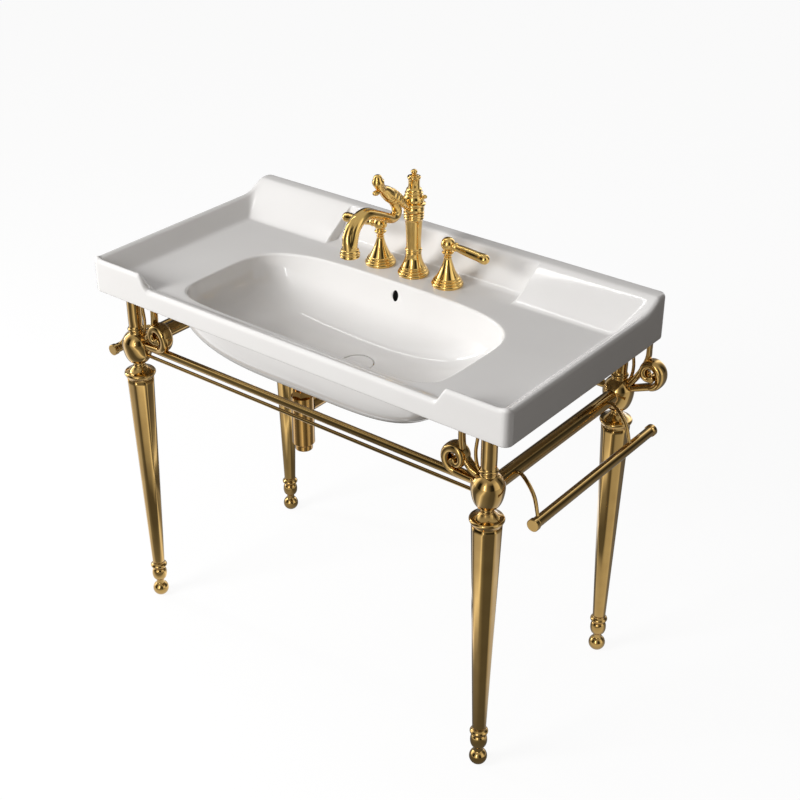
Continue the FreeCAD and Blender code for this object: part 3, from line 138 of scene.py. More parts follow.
def rounded(corners: Sequence[Corner], steps: int = 7) -> Array:
    """A profile whose corners are eased by short curves.

    Each corner B between A and C becomes the parabola (1-t)^2 P + 2t(1-t) B + t^2 Q, where P and Q
    lie the given distance from B towards A and C.

    Args:
        corners: Radius, height and easing distance of each corner.
        steps: Points on each eased corner.

    Returns:
        An (n, 2) array of radius and height.
    """
    pts = np.array([corner[:2] for corner in corners], float)
    share = np.linspace(0.0, 1.0, steps)[:, None]
    out = [pts[:1]]
    for index in range(1, len(pts) - 1):
        here = pts[index]
        back, ahead = pts[index - 1] - here, pts[index + 1] - here
        back_len, ahead_len = np.linalg.norm(back), np.linalg.norm(ahead)
        ease = min(corners[index][2], BIGGEST_EASE * back_len, BIGGEST_EASE * ahead_len)
        if ease <= 0.0:
            out.append(here[None])
            continue
        back, ahead = back / back_len, ahead / ahead_len
        start, end = here + back * ease, here + ahead * ease
        curve = (1 - share) ** 2 * start + 2 * share * (1 - share) * here + share ** 2 * end
        lead = ease * EASE_LEAD
        out.extend([(start + back * lead)[None], curve, (end + ahead * lead)[None]])
    out.append(pts[-1:])
    return np.vstack(out)


def bowed(start: Tuple[float, float], end: Tuple[float, float], sag: float, count: int = 12) -> List[Corner]:
    """Profile corners along a parabola between two points.

    A point at share t of the chord is moved by 4t(1-t) times the sag, to the left of the way for a
    negative sag and to the right for a positive one.

    Args:
        start: Radius and height of the first point.
        end: Radius and height of the last point.
        sag: Greatest distance from the chord.
        count: Number of points.

    Returns:
        The corners, with no easing.
    """
    first, last = np.array(start, float), np.array(end, float)
    chord = last - first
    right = np.array((chord[1], -chord[0])) / np.linalg.norm(chord)
    share = np.linspace(0.0, 1.0, count)[:, None]
    pts = first + chord * share + right * (4 * share * (1 - share) * sag)
    return [(float(r), float(z), 0.0) for r, z in pts]


def lathe(profile: Array, centre: Sequence[float], axis: Array = UP, segments: int = 96) -> Patch:
    """A profile turned round an axis.

    A point is centre + r cos(a) u + r sin(a) v + h w, where w is the axis and u, v complete it.

    Args:
        profile: Radius and height of each point; the first and last radius are taken as zero.
        centre: Where the height is zero, in millimetres.
        axis: The unit vector of the axis.
        segments: Points round the axis.

    Returns:
        The points and the face arrays.
    """
    along = np.asarray(axis, float)
    side = np.roll(along, 1)
    other = np.cross(along, side)
    angle = np.linspace(0.0, 2 * np.pi, segments, endpoint=False)
    spoke = np.cos(angle)[:, None] * side + np.sin(angle)[:, None] * other
    base = np.asarray(centre, float)
    body = profile[1:-1]
    rings = base + body[:, 0, None, None] * spoke[None] + body[:, 1, None, None] * along
    return closed_rings(rings, base + along * profile[0, 1], base + along * profile[-1, 1])


def smooth_path(points: Sequence[Sequence[float]], count: int) -> Array:
    """A curve through points, by Catmull and Rom's cubic between each pair.

    Args:
        points: The points to pass through.
        count: Number of points on the curve.

    Returns:
        A (count, width) array; any number of columns is carried the same way.
    """
    pts = np.asarray(points, float)
    padded = np.vstack([2 * pts[0] - pts[1], pts, 2 * pts[-1] - pts[-2]])
    place = np.linspace(0.0, len(pts) - 1, count)
    index = np.minimum(place.astype(int), len(pts) - 2)
    t = (place - index)[:, None]
    a, b, c, d = (padded[index + k] for k in range(4))
    return 0.5 * (2 * b + (c - a) * t + (2 * a - 5 * b + 4 * c - d) * t ** 2
                  + (3 * b - a - 3 * c + d) * t ** 3)


def sweep(path: Array, across: Array, wide: Array, deep: Array, segments: int = 48,
          power: float = 2.0, cap: float = 1.0,
          flute: Optional[Callable[[Array, Array], Array]] = None) -> Patch:
    """An oval section carried along a path, with domed ends.

    A section point is p + wide C(a) side + deep S(a) other, with C and S the cosine and sine raised to
    2/power with their signs, which gives an ellipse for 2 and a rounded strip for more.

    Args:
        path: (n, 3) points in millimetres.
        across: Unit vector that the section's wide side follows.
        wide: Half widths along the path.
        deep: Half depths along the path.
        segments: Points round the section.
        power: Squareness of the section.
        cap: Length of the domed ends as a share of the section's smaller half size.
        flute: Factor on the section from the share of the path and the angle, or nothing.

    Returns:
        The points and the face arrays.
    """
    count = len(path)
    tangent = np.gradient(path, axis=0)
    tangent /= np.linalg.norm(tangent, axis=1)[:, None]
    side = across - (tangent @ across)[:, None] * tangent
    side /= np.linalg.norm(side, axis=1)[:, None]
    other = np.cross(tangent, side)
    turn = np.linspace(0.0, np.pi / 2, DOME_RINGS + 2)[1:-1]
    shrink = np.concatenate([np.sin(turn), np.ones(count), np.cos(turn)])
    dome = min(wide[0], deep[0]) * cap, min(wide[-1], deep[-1]) * cap
    shift = np.concatenate([-np.cos(turn) * dome[0], np.zeros(count), np.sin(turn) * dome[1]])
    row = np.concatenate([np.zeros(DOME_RINGS, int), np.arange(count), np.full(DOME_RINGS, count - 1)])
    angle = np.linspace(0.0, 2 * np.pi, segments, endpoint=False)
    cosine = np.sign(np.cos(angle)) * np.abs(np.cos(angle)) ** (2 / power)
    sine = np.sign(np.sin(angle)) * np.abs(np.sin(angle)) ** (2 / power)
    centre = path[row] + tangent[row] * shift[:, None]
    scale = shrink[:, None] * (flute(row[:, None] / (count - 1), angle[None]) if flute else 1.0)
    rings = (centre[:, None]
             + (scale * wide[row, None] * cosine)[..., None] * side[row, None]
             + (scale * deep[row, None] * sine)[..., None] * other[row, None])
    return closed_rings(rings, path[0] - tangent[0] * dome[0], path[-1] + tangent[-1] * dome[1])


def spread(values: Sequence[float], count: int) -> Array:
    """Values at even shares of a path, drawn out to the given count."""
    return np.interp(np.linspace(0.0, 1.0, count), np.linspace(0.0, 1.0, len(values)), values)


@dataclass
class Piece:
    """One visible piece, gathered from patches and then made into an object."""

    name: str
    body: Body
    slot: Slot
    nodes: Tuple[str, ...]
    patches: List[Patch]

    def build(self, material: bpy.types.Material) -> bpy.types.Object:
        """Make the mesh, turn its faces outwards, dress it and tie it to the frame.

        Args:
            material: The finish of the piece.

        Returns:
            The new object.
        """
        offset = 0
        points: List[Array] = []
        faces: List[Array] = []
        for patch_points, patch_faces in self.patches:
            points.append(patch_points)
            faces.extend(face + offset for face in patch_faces)
            offset += len(patch_points)
        place = np.concatenate(points) * MM
        loops = np.concatenate([face.ravel() for face in faces]).astype(np.int32)
        sides = np.concatenate([np.full(len(face), face.shape[1]) for face in faces])
        starts = np.concatenate([[0], np.cumsum(sides)[:-1]]).astype(np.int32)
        mesh = bpy.data.meshes.new(self.name)
        mesh.vertices.add(len(place))
        mesh.vertices.foreach_set("co", place.ravel().astype(np.float32))
        mesh.loops.add(len(loops))
        mesh.loops.foreach_set("vertex_index", loops)
        mesh.polygons.add(len(starts))
        mesh.polygons.foreach_set("loop_start", starts)
        mesh.polygons.foreach_set("use_smooth", np.ones(len(starts), bool))
        mesh.update(calc_edges=True)
        shell = bmesh.new()
        shell.from_mesh(mesh)
        bmesh.ops.recalc_face_normals(shell, faces=shell.faces)
        shell.to_mesh(mesh)
        shell.free()
        mesh.materials.append(material)
        item = bpy.data.objects.new(self.name, mesh)
        bpy.context.scene.collection.objects.link(item)
        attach(item, self.body.value)
        if self.nodes:
            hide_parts(*self.nodes)
        LOG.info("%s: %d faces, for %s", self.name, len(starts), ", ".join(self.nodes) or "no node")
        return item


# ---------------------------------------------------------------- finishes

def linear(code: str) -> Tuple[float, float, float, float]:
    """The linear colour of an sRGB hex code."""
    parts = np.array([int(code[index:index + 2], 16) for index in (1, 3, 5)]) / 255
    line = np.where(parts <= 0.04045, parts / 12.92, ((parts + 0.055) / 1.055) ** 2.4)
    return float(line[0]), float(line[1]), float(line[2]), 1.0


def add_node(tree: bpy.types.NodeTree, kind: str, settings: Optional[Dict[str, object]] = None,
             inputs: Optional[Dict[object, object]] = None) -> bpy.types.Node:
    """Add one node, set its properties and inputs, and link those given as sockets.

    Args:
        tree: The node tree to add to.
        kind: The node's type name.
        settings: Properties by name.
        inputs: Values or output sockets, by input name or number.

    Returns:
        The new node.
    """
    node = tree.nodes.new(kind)
    for key, setting in (settings or {}).items():
        setattr(node, key, setting)
    for key, given in (inputs or {}).items():
        if isinstance(given, bpy.types.NodeSocket):
            tree.links.new(given, node.inputs[key])
        else:
            node.inputs[key].default_value = given
    return node


def blank_material(name: str) -> Tuple[bpy.types.Material, bpy.types.NodeTree]:
    """An empty node material and its tree."""
    material = bpy.data.materials.new(name)
    material.use_nodes = True
    material.node_tree.nodes.clear()
    return material, material.node_tree


@dataclass(frozen=True)
class PolishedGold:
    """Brass that is turned or cast, polished and gold plated: a mirror with faint buffing marks."""

    name: str
    light: str
    deep: str
    roughness: float
    swirl_mm: float = 9.0
    haze_mm: float = 42.0

    def material(self) -> bpy.types.Material:
        """Build the finish.

        Returns:
            The material: metal whose tone drifts slightly over a few centimetres, with a soft haze in its
            polish, ripples of a hundredth of a millimetre that bend the reflections a little, and a clear
            lacquer over it that keeps the brightest lights white.
        """
        material, tree = blank_material(self.name)
        place = add_node(tree, "ShaderNodeTexCoord").outputs["Object"]
        haze = add_node(tree, "ShaderNodeTexNoise", inputs={
            "Vector": place, "Scale": 1000 / self.haze_mm, "Detail": 3.0})
        swirl = add_node(tree, "ShaderNodeTexNoise", inputs={
            "Vector": place, "Scale": 1000 / self.swirl_mm, "Detail": 2.0})
        tone = add_node(tree, "ShaderNodeMix", {"data_type": "RGBA"}, {
            "Factor": haze.outputs["Fac"], "A": linear(self.deep), "B": linear(self.light)})
        rough = add_node(tree, "ShaderNodeMapRange", inputs={
            "Value": haze.outputs["Fac"], "From Min": 0.3, "From Max": 0.7,
            "To Min": self.roughness * 0.75, "To Max": self.roughness * 1.35})
        bump = add_node(tree, "ShaderNodeBump", inputs={
            "Height": swirl.outputs["Fac"], "Strength": 0.12, "Distance": 0.0001})
        metal = add_node(tree, "ShaderNodeBsdfPrincipled", inputs={
            "Base Color": tone.outputs["Result"], "Metallic": 1.0, "Coat Weight": 0.8, "Coat Roughness": 0.04,
            "Roughness": rough.outputs["Result"], "Normal": bump.outputs["Normal"]})
        add_node(tree, "ShaderNodeOutputMaterial", inputs={"Surface": metal.outputs["BSDF"]})
        return material


@dataclass(frozen=True)
class SanitaryGlaze:
    """White vitreous glaze fired on fireclay: a clear wet gloss over a faintly uneven white body."""

    name: str = "white_sanitary_glaze"
    light: str = "#EAE9E7"
    shade: str = "#E5E3E1"
    roughness: float = 0.06
    pool_mm: float = 120.0
    peel_mm: float = 14.0

    def material(self) -> bpy.types.Material:
        """Build the finish.

        Returns:
            The material: white under glass, a little warmer where the glaze pools, with a slow ripple
            of a few centimetres such as glaze has after firing.
        """
        material, tree = blank_material(self.name)
        place = add_node(tree, "ShaderNodeTexCoord").outputs["Object"]
        pool = add_node(tree, "ShaderNodeTexNoise", inputs={
            "Vector": place, "Scale": 1000 / self.pool_mm, "Detail": 2.0})
        peel = add_node(tree, "ShaderNodeTexNoise", inputs={
            "Vector": place, "Scale": 1000 / self.peel_mm, "Detail": 1.0})
        tone = add_node(tree, "ShaderNodeMix", {"data_type": "RGBA"}, {
            "Factor": pool.outputs["Fac"], "A": linear(self.shade), "B": linear(self.light)})
        rough = add_node(tree, "ShaderNodeMapRange", inputs={
            "Value": pool.outputs["Fac"], "From Min": 0.3, "From Max": 0.7,
            "To Min": self.roughness * 0.8, "To Max": self.roughness * 1.3})
        bump = add_node(tree, "ShaderNodeBump", inputs={
            "Height": peel.outputs["Fac"], "Strength": 0.08, "Distance": 0.0003})
        glaze = add_node(tree, "ShaderNodeBsdfPrincipled", inputs={
            "Base Color": tone.outputs["Result"], "Roughness": rough.outputs["Result"],
            "IOR": 1.52, "Normal": bump.outputs["Normal"]})
        add_node(tree, "ShaderNodeOutputMaterial", inputs={"Surface": glaze.outputs["BSDF"]})
        return material


@dataclass(frozen=True)
class MattDark:
    """A dark matt surface: moulded rubber, or painted shade on the inside faces of the basin's bored holes,
    which are really white glaze in shadow.
    """

    name: str
    light: str
    deep: str
    roughness: float = 0.7
    grain_mm: float = 0.8

    def material(self) -> bpy.types.Material:
        """Build the finish.

        Returns:
            The material: dark, with a fine moulded grain.
        """
        material, tree = blank_material(self.name)
        place = add_node(tree, "ShaderNodeTexCoord").outputs["Object"]
        grain = add_node(tree, "ShaderNodeTexNoise", inputs={
            "Vector": place, "Scale": 1000 / self.grain_mm, "Detail": 2.0})
        tone = add_node(tree, "ShaderNodeMix", {"data_type": "RGBA"}, {
            "Factor": grain.outputs["Fac"], "A": linear(self.deep), "B": linear(self.light)})
        bump = add_node(tree, "ShaderNodeBump", inputs={
            "Height": grain.outputs["Fac"], "Strength": 0.3, "Distance": 0.0001})
        matt = add_node(tree, "ShaderNodeBsdfPrincipled", inputs={
            "Base Color": tone.outputs["Result"], "Roughness": self.roughness,
            "Normal": bump.outputs["Normal"]})
        add_node(tree, "ShaderNodeOutputMaterial", inputs={"Surface": matt.outputs["BSDF"]})
        return material


@dataclass
class Finishes:
    """The object's finishes, each made once."""

    glaze: bpy.types.Material
    tap: bpy.types.Material
    stand: bpy.types.Material
    plumbing: bpy.types.Material
    rubber: bpy.types.Material
    channel: bpy.types.Material

    @classmethod
    def make(cls) -> "Finishes":
        """Make every finish."""
        return cls(
            glaze=SanitaryGlaze().material(),
            tap=PolishedGold("polished_bright_gold", "#F3CE7A", "#E0B256", 0.055).material(),
            stand=PolishedGold("polished_antique_gold", "#CFAA60", "#AE8844", 0.065).material(),
            plumbing=PolishedGold("polished_brass_fittings", "#C79A4C", "#AE8238", 0.12).material(),
            rubber=MattDark("black_moulded_rubber", "#262626", "#161616").material(),
            # painted shade: near-black for the faces the bores cut, standing in for the shade inside the
            # overflow and fixing holes
            channel=MattDark("painted_shade_in_bores", "#0E0E0E", "#060606", 0.9).material(),
        )


# ---------------------------------------------------------------- basin

def ramp(value: Array, low: float, high: float, soft: float) -> Array:
    """A slope from 0 at low to 1 at high with eased ends.

    It is (s(v - low) - s(v - high)) / (high - low), where s(t) = (t + sqrt(t^2 + soft^2)) / 2 is a soft
    version of the larger of t and 0.
    """
    def eased(t: Array) -> Array:
        """The soft version of the larger of t and 0."""
        return (t + np.sqrt(t * t + soft * soft)) / 2
    return (eased(value - low) - eased(value - high)) / (high - low)


def step(value: Array, low: float, high: float) -> Array:
    """An S-shaped step from 0 at low to 1 at high, 3t^2 - 2t^3."""
    t = np.clip((value - low) / (high - low), 0.0, 1.0)
    return t * t * (3 - 2 * t)


@dataclass
class Basin:
    """The glazed basin: rims, deck, upstand with end blocks, bowl, apron and open underside."""

    half_width: float = 500.0
    half_depth: float = 262.0
    corner: float = 16.0
    edge_ease: float = 9.0
    foot_ease: float = 4.0
    base: float = 749.0
    ledge: float = 784.0
    under: float = 768.0
    wall: float = 14.0
    rim_rise: float = 36.0
    lip_rise: float = 6.5
    back_rise: float = 59.0
    bowl_half: float = 312.0
    bowl_front: float = 226.0
    bowl_back: float = 80.0
    bowl_deep: float = 127.0
    bowl_edge: float = 5.0
    drain_y: float = -43.0
    drain_floor: float = 36.0
    recess: float = 33.5
    drain_bore: float = 23.0
    opening_x: float = 347.0
    opening_front: float = -243.0
    opening_back: float = 112.0
    overflow_level: float = 756.0
    fixing_level: float = 758.5
    fixing_x: float = 140.0
    fixing_radius: float = 6.0

    def inset(self, x: Array, y: Array) -> Array:
        """Distance inwards from the basin's outline, a rectangle with round corners."""
        over_x = np.abs(x) - (self.half_width - self.corner)
        over_y = np.abs(y) - (self.half_depth - self.corner)
        outer = np.hypot(np.maximum(over_x, 0), np.maximum(over_y, 0))
        return self.corner - outer - np.minimum(np.maximum(over_x, over_y), 0)

    def top(self, x: Array, y: Array) -> Array:
        """Height of the upper surface outside the bowl.

        The side rims, the front rim and the back upstand are slopes; the highest wins, through the
        sixth root of the sum of their sixth powers. The upstand sweeps up in a curve between the two
        straight slopes of its end blocks, and is the soft maximum of curve a and slope b,
        (a + b + sqrt((a - b)^2 + 2) - sqrt(2)) / 2. A quarter circle eases the outer edge.
        """
        side = self.rim_rise * ramp(np.abs(x), 453.0, 489.0, 3.5)
        front_height = self.lip_rise + (self.rim_rise - self.lip_rise) * step(np.abs(x), 346.0, 372.0)
        front = front_height * ramp(-y, 237.0, 251.0, 3.0)
        middle = self.back_rise * np.maximum(ramp(y, 168.0, 228.0, 4.0), 0.0) ** 1.7
        block = (self.back_rise - 2.5) * ramp(y, 141.0, 227.0, 3.5) * step(np.abs(x), 229.0, 238.0)
        rear = (middle + block + np.sqrt((middle - block) ** 2 + 2.0) - math.sqrt(2.0)) / 2
        height = self.ledge + (np.maximum(side, 0) ** 6 + np.maximum(front, 0) ** 6
                               + np.maximum(rear, 0) ** 6) ** (1 / 6)
        gap = np.clip(self.edge_ease - self.inset(x, y), 0.0, self.edge_ease)
        return height - (self.edge_ease - np.sqrt(np.maximum(self.edge_ease ** 2 - gap ** 2, 0)))

    def bottom(self, x: Array, y: Array) -> Array:
        """Height of the underside outside the bowl: the apron's foot, its inner wall and the ledge."""
        inset = self.inset(x, y)
        gap = np.clip(self.foot_ease - inset, 0.0, self.foot_ease)
        foot = self.base + self.foot_ease - np.sqrt(np.maximum(self.foot_ease ** 2 - gap ** 2, 0))
        rear = np.clip(y - (self.half_depth - self.corner), 0.0, self.corner)
        foot = foot + self.corner - np.sqrt(np.maximum(self.corner ** 2 - rear ** 2, 0))
        return foot + (self.under - foot) * ramp(inset, self.wall, self.wall + 3.0, 0.6)

    def lines(self) -> Tuple[Array, Array]:
        """Grid lines along X and Y, close together where the surface bends.

        Returns:
            The two sorted arrays, both with the borders of the bowl's opening among them.
        """
        bend = self.edge_ease * (1 - np.cos(np.linspace(0.0, np.pi / 2, 9)))
        foot = np.array((14.0, 14.8, 15.6, 16.4, 17.2, 18.0))
        half = np.concatenate([
            np.linspace(0.0, 226.0, 33), np.linspace(228.0, 242.0, 15), np.linspace(253.0, 340.0, 13),
            np.linspace(self.opening_x, 374.0, 14), np.linspace(381.0, 446.0, 10),
            np.linspace(450.0, 480.0, 12), self.half_width - foot, self.half_width - bend])
        xs = np.unique(np.round(np.concatenate([-half, half]), 3))
        ys = np.unique(np.round(np.concatenate([
            -self.half_depth + bend, -self.half_depth + foot, np.linspace(self.opening_front, -236.0, 6),
            np.linspace(-231.0, 106.0, 52), [self.opening_back], np.linspace(117.0, 166.0, 18),
            np.linspace(170.0, 246.0, 27), self.half_depth - foot, self.half_depth - bend]), 3))
        return self.thinned(xs), self.thinned(ys)

    @staticmethod
    def thinned(values: Array) -> Array:
        """The values without those that nearly repeat the one before."""
        return values[np.concatenate([[True], np.diff(values) > 0.02])]

    def rounded_corners(self, x: Array, y: Array) -> Tuple[Array, Array]:
        """Move grid points so that the outermost lines follow the round corners.

        In each corner's square, a and b from 0 to 1 become a sqrt(1 - b^2/2) and b sqrt(1 - a^2/2).
        """
        a = np.clip((np.abs(x) - self.half_width + self.corner) / self.corner, 0.0, 1.0)
        b = np.clip((np.abs(y) - self.half_depth + self.corner) / self.corner, 0.0, 1.0)
        moved_x = np.abs(x) + self.corner * (a * np.sqrt(1 - b * b / 2) - a)
        moved_y = np.abs(y) + self.corner * (b * np.sqrt(1 - a * a / 2) - b)
        return np.sign(x) * moved_x, np.sign(y) * moved_y

    def bowl_ring(self, ray: Array, swing: float, grow: float) -> Array:
        """Plan of one ring of the bowl.

        Half a superellipse |x|^n + |y|^n = 1 stands in front of the ring's middle and one behind it.
        Its half sizes shrink with powers of cos(swing), and n falls from the edge's value to 2.

        Args:
            ray: (k, 2) directions, on the border of the unit square.
            swing: Angle from 0 at the edge to a quarter turn at the floor.
            grow: How far the ring is pushed outwards.

        Returns:
            A (k, 2) array of x and y.
        """
        reach = max(math.cos(swing), 0.0)
        low, floor = self.drain_y, self.drain_floor
        side = floor + (self.bowl_half - floor) * reach ** 0.75 + grow
        front = low - floor - (self.bowl_front + low - floor) * reach ** 0.45 - grow
        back = low + floor + (self.bowl_back - low - floor) * reach ** 0.95 + grow
        middle = low + (self.bowl_back - self.bowl_front - 2 * low) / 2 * reach
        rear = ray[:, 1] > 0
        power = 2 + (np.where(rear, 3.6, 7.0) - 2) * reach ** 0.5
        size = (np.abs(ray[:, 0]) ** power + np.abs(ray[:, 1]) ** power) ** (-1 / power)
        depth = np.where(rear, back - middle, middle - front)
        return np.stack([side * ray[:, 0] * size, middle + depth * ray[:, 1] * size], axis=1)

    def rings(self, border: Array) -> Array:
        """Rings from the opening's border over the bowl's inside, through the drain and back outside.

        Args:
            border: (k, 2) points round the opening, in order.

        Returns:
            A (rows, k, 3) array.
        """
        centre = (self.opening_front + self.opening_back) / 2
        half_y = (self.opening_back - self.opening_front) / 2
        ray = np.stack([border[:, 0] / self.opening_x, (border[:, 1] - centre) / half_y], axis=1)
        out: List[Array] = []

        def put(plan: Array, level: Array) -> None:
            """Add one ring."""
            heights = np.broadcast_to(np.asarray(level, float), (len(plan),))
            out.append(np.column_stack([plan, heights]))

        edge = self.bowl_ring(ray, 0.0, self.bowl_edge)
        for share in np.linspace(0.0, 1.0, 9)[:-1]:
            plan = border + (edge - border) * share
            put(plan, self.top(plan[:, 0], plan[:, 1]))
        for angle in np.linspace(0.0, np.pi / 2, 9):
            plan = self.bowl_ring(ray, 0.0, self.bowl_edge * (1 - math.sin(angle)))
            put(plan, self.top(plan[:, 0], plan[:, 1]) - self.bowl_edge * (1 - math.cos(angle)))
        start = math.asin(self.bowl_edge / self.bowl_deep)
        floor = self.ledge - self.bowl_deep
        for swing in np.linspace(start, np.pi / 2, 58)[1:]:
            put(self.bowl_ring(ray, swing, 0.0), self.ledge - self.bowl_deep * math.sin(swing))
        unit = self.bowl_ring(ray, np.pi / 2, -self.drain_floor + 1.0) - (0.0, self.drain_y)
        drain = np.array((0.0, self.drain_y))
        for radius, level in ((self.recess + 0.8, floor), (self.recess + 0.2, floor - 0.3),
                              (self.recess, floor - 0.9), (self.recess, floor - 9.0),
                              (self.drain_bore, floor - 9.0), (self.drain_bore, floor - 20.0),
                              (44.0, floor - 20.0), (44.5, floor - 16.0)):
            put(drain + unit * radius, level)
        outer_floor = floor - (self.ledge - self.under)
        for swing in np.linspace(np.pi / 2, 0.12, 34):
            put(self.bowl_ring(ray, swing, self.wall), outer_floor + self.bowl_deep * (1 - math.sin(swing)))
        for share in np.linspace(0.0, 1.0, 5)[1:]:
            plan = self.bowl_ring(ray, 0.0, self.wall)
            plan = plan + (border - plan) * share
            put(plan, self.bottom(plan[:, 0], plan[:, 1]))
        return np.stack(out)

    def patch(self) -> Patch:
        """The whole basin as one closed skin.

        Two sheets share the grid lines; the bowl's rings join their openings, and upright rows join
        their outlines.

        Returns:
            The points and the face arrays.
        """
        xs, ys = self.lines()
        nx, ny = len(xs), len(ys)
        flat_x, flat_y = (grid.ravel() for grid in np.meshgrid(xs, ys, indexing="xy"))
        moved_x, moved_y = self.rounded_corners(flat_x, flat_y)
        upper = np.column_stack([moved_x, moved_y, self.top(moved_x, moved_y)])
        lower = np.column_stack([moved_x, moved_y, self.bottom(moved_x, moved_y)])
        number = np.arange(nx * ny).reshape(ny, nx)
        left, right = (int(np.argmin(np.abs(xs - edge))) for edge in (-self.opening_x, self.opening_x))
        front, back = (int(np.argmin(np.abs(ys - edge))) for edge in (self.opening_front, self.opening_back))
        keep = np.ones((ny - 1, nx - 1), bool)
        keep[front:back, left:right] = False
        quads = np.stack([number[:-1, :-1], number[:-1, 1:], number[1:, 1:], number[1:, :-1]], axis=-1)[keep]

        def loop(x0: int, x1: int, y0: int, y1: int) -> Array:
            """Point numbers round a rectangle of the grid, counter-clockwise."""
            return np.concatenate([number[y0, x0:x1], number[y0:y1, x1],
                                   number[y1, x1:x0:-1], number[y1:y0:-1, x0]])

        hole, rim = loop(left, right, front, back), loop(0, nx - 1, 0, ny - 1)
        rings = self.rings(np.column_stack([flat_x[hole], flat_y[hole]]))
        rows, cols = rings.shape[:2]
        count = nx * ny
        ring_number = np.arange(rows * cols).reshape(rows, cols) + 2 * count
        ring_number[0] = hole
        ring_number[-1] = hole + count
        share = np.linspace(0.0, 1.0, 7)[:, None, None]
        walls = upper[rim] + (lower[rim] - upper[rim]) * share
        wall_number = np.arange(walls.shape[0] * len(rim)).reshape(walls.shape[0], len(rim))
        wall_number = wall_number + 2 * count + rows * cols
        wall_number[0] = rim
        wall_number[-1] = rim + count
        points = np.vstack([upper, lower, rings.reshape(-1, 3), walls.reshape(-1, 3)])
        faces = [quads, quads[:, ::-1] + count]
        for table in (ring_number, wall_number):
            after = np.roll(table, -1, axis=1)
            faces.append(np.stack([table[:-1], after[:-1], after[1:], table[1:]], axis=-1).reshape(-1, 4))
        used, packed = np.unique(np.concatenate([face.ravel() for face in faces]), return_inverse=True)
        split = np.cumsum([face.size for face in faces])[:-1]
        return points[used], [part.reshape(-1, 4) for part in np.split(packed, split)]

    def cutters(self) -> List[Patch]:
        """Bars that bore the overflow and the two wall-fixing holes, each running along Y."""
        def bar(x: float, level: float, span: Tuple[float, float], high: float, wide: float) -> Patch:
            """One oval bar along Y, from its half height and half width."""
            path = np.array([(x, y, level) for y in span])
            return sweep(path, UP, np.array((high, high)), np.array((wide, wide)), 32, 2.0, 0.1)

        radius = self.fixing_radius
        holes = [bar(x, self.fixing_level, (240.0, 270.0), radius, radius)
                 for x in (-self.fixing_x, self.fixing_x)]
        return [bar(0.0, self.overflow_level, (40.0, 84.0), 11.5, 6.8)] + holes

    def build(self, finishes: Finishes) -> None:
        """Make the basin and bore its holes; the bored faces take the cutters' near-black painted shade.

        Args:
            finishes: The object's finishes.
        """
        item = Piece("basin_glazed", Body.STAND, Slot.GLAZE, ("basin",), [self.patch()]).build(finishes.glaze)
        # The cutters carry the painted shade; material_mode TRANSFER passes it to the faces they cut.
        tool = Piece("basin_bores", Body.STAND, Slot.GLAZE, (), self.cutters()).build(finishes.channel)
        cut = item.modifiers.new("bores", "BOOLEAN")
        cut.operation = "DIFFERENCE"
        cut.solver = "EXACT"
        cut.object = tool
        cut.material_mode = "TRANSFER"
        bpy.context.view_layer.update()
        graph = bpy.context.evaluated_depsgraph_get()
        mesh = bpy.data.meshes.new_from_object(item.evaluated_get(graph))
        item.modifiers.clear()
        item.data = mesh
        bpy.data.objects.remove(tool)
        LOG.info("basin bored: %d faces", len(mesh.polygons))


@dataclass
class PopUpWaste:
    """The flush cover over the drain."""

    radius: float = 31.5
    top: float = 657.0
    height: float = 5.0
    ease: float = 1.4
    drain_y: float = -43.0

    def build(self, finishes: Finishes) -> None:
        """Make the glazed cover, slightly domed.

        Args:
            finishes: The object's finishes.
        """
        low = self.top - self.height
        profile = rounded([(0.0, low, 0.0), (self.radius - 0.5, low, 0.4), (self.radius, low + 0.8, 0.4),
                           (self.radius, self.top - 0.6, self.ease), (self.radius * 0.6, self.top, 2.0),
                           (0.0, self.top, 0.0)])
        patch = lathe(profile, (0.0, self.drain_y, 0.0))
        Piece("waste_cover_glazed", Body.POP_UP, Slot.GLAZE, ("waste_cover",), [patch]).build(finishes.glaze)


# ---------------------------------------------------------------- mixer

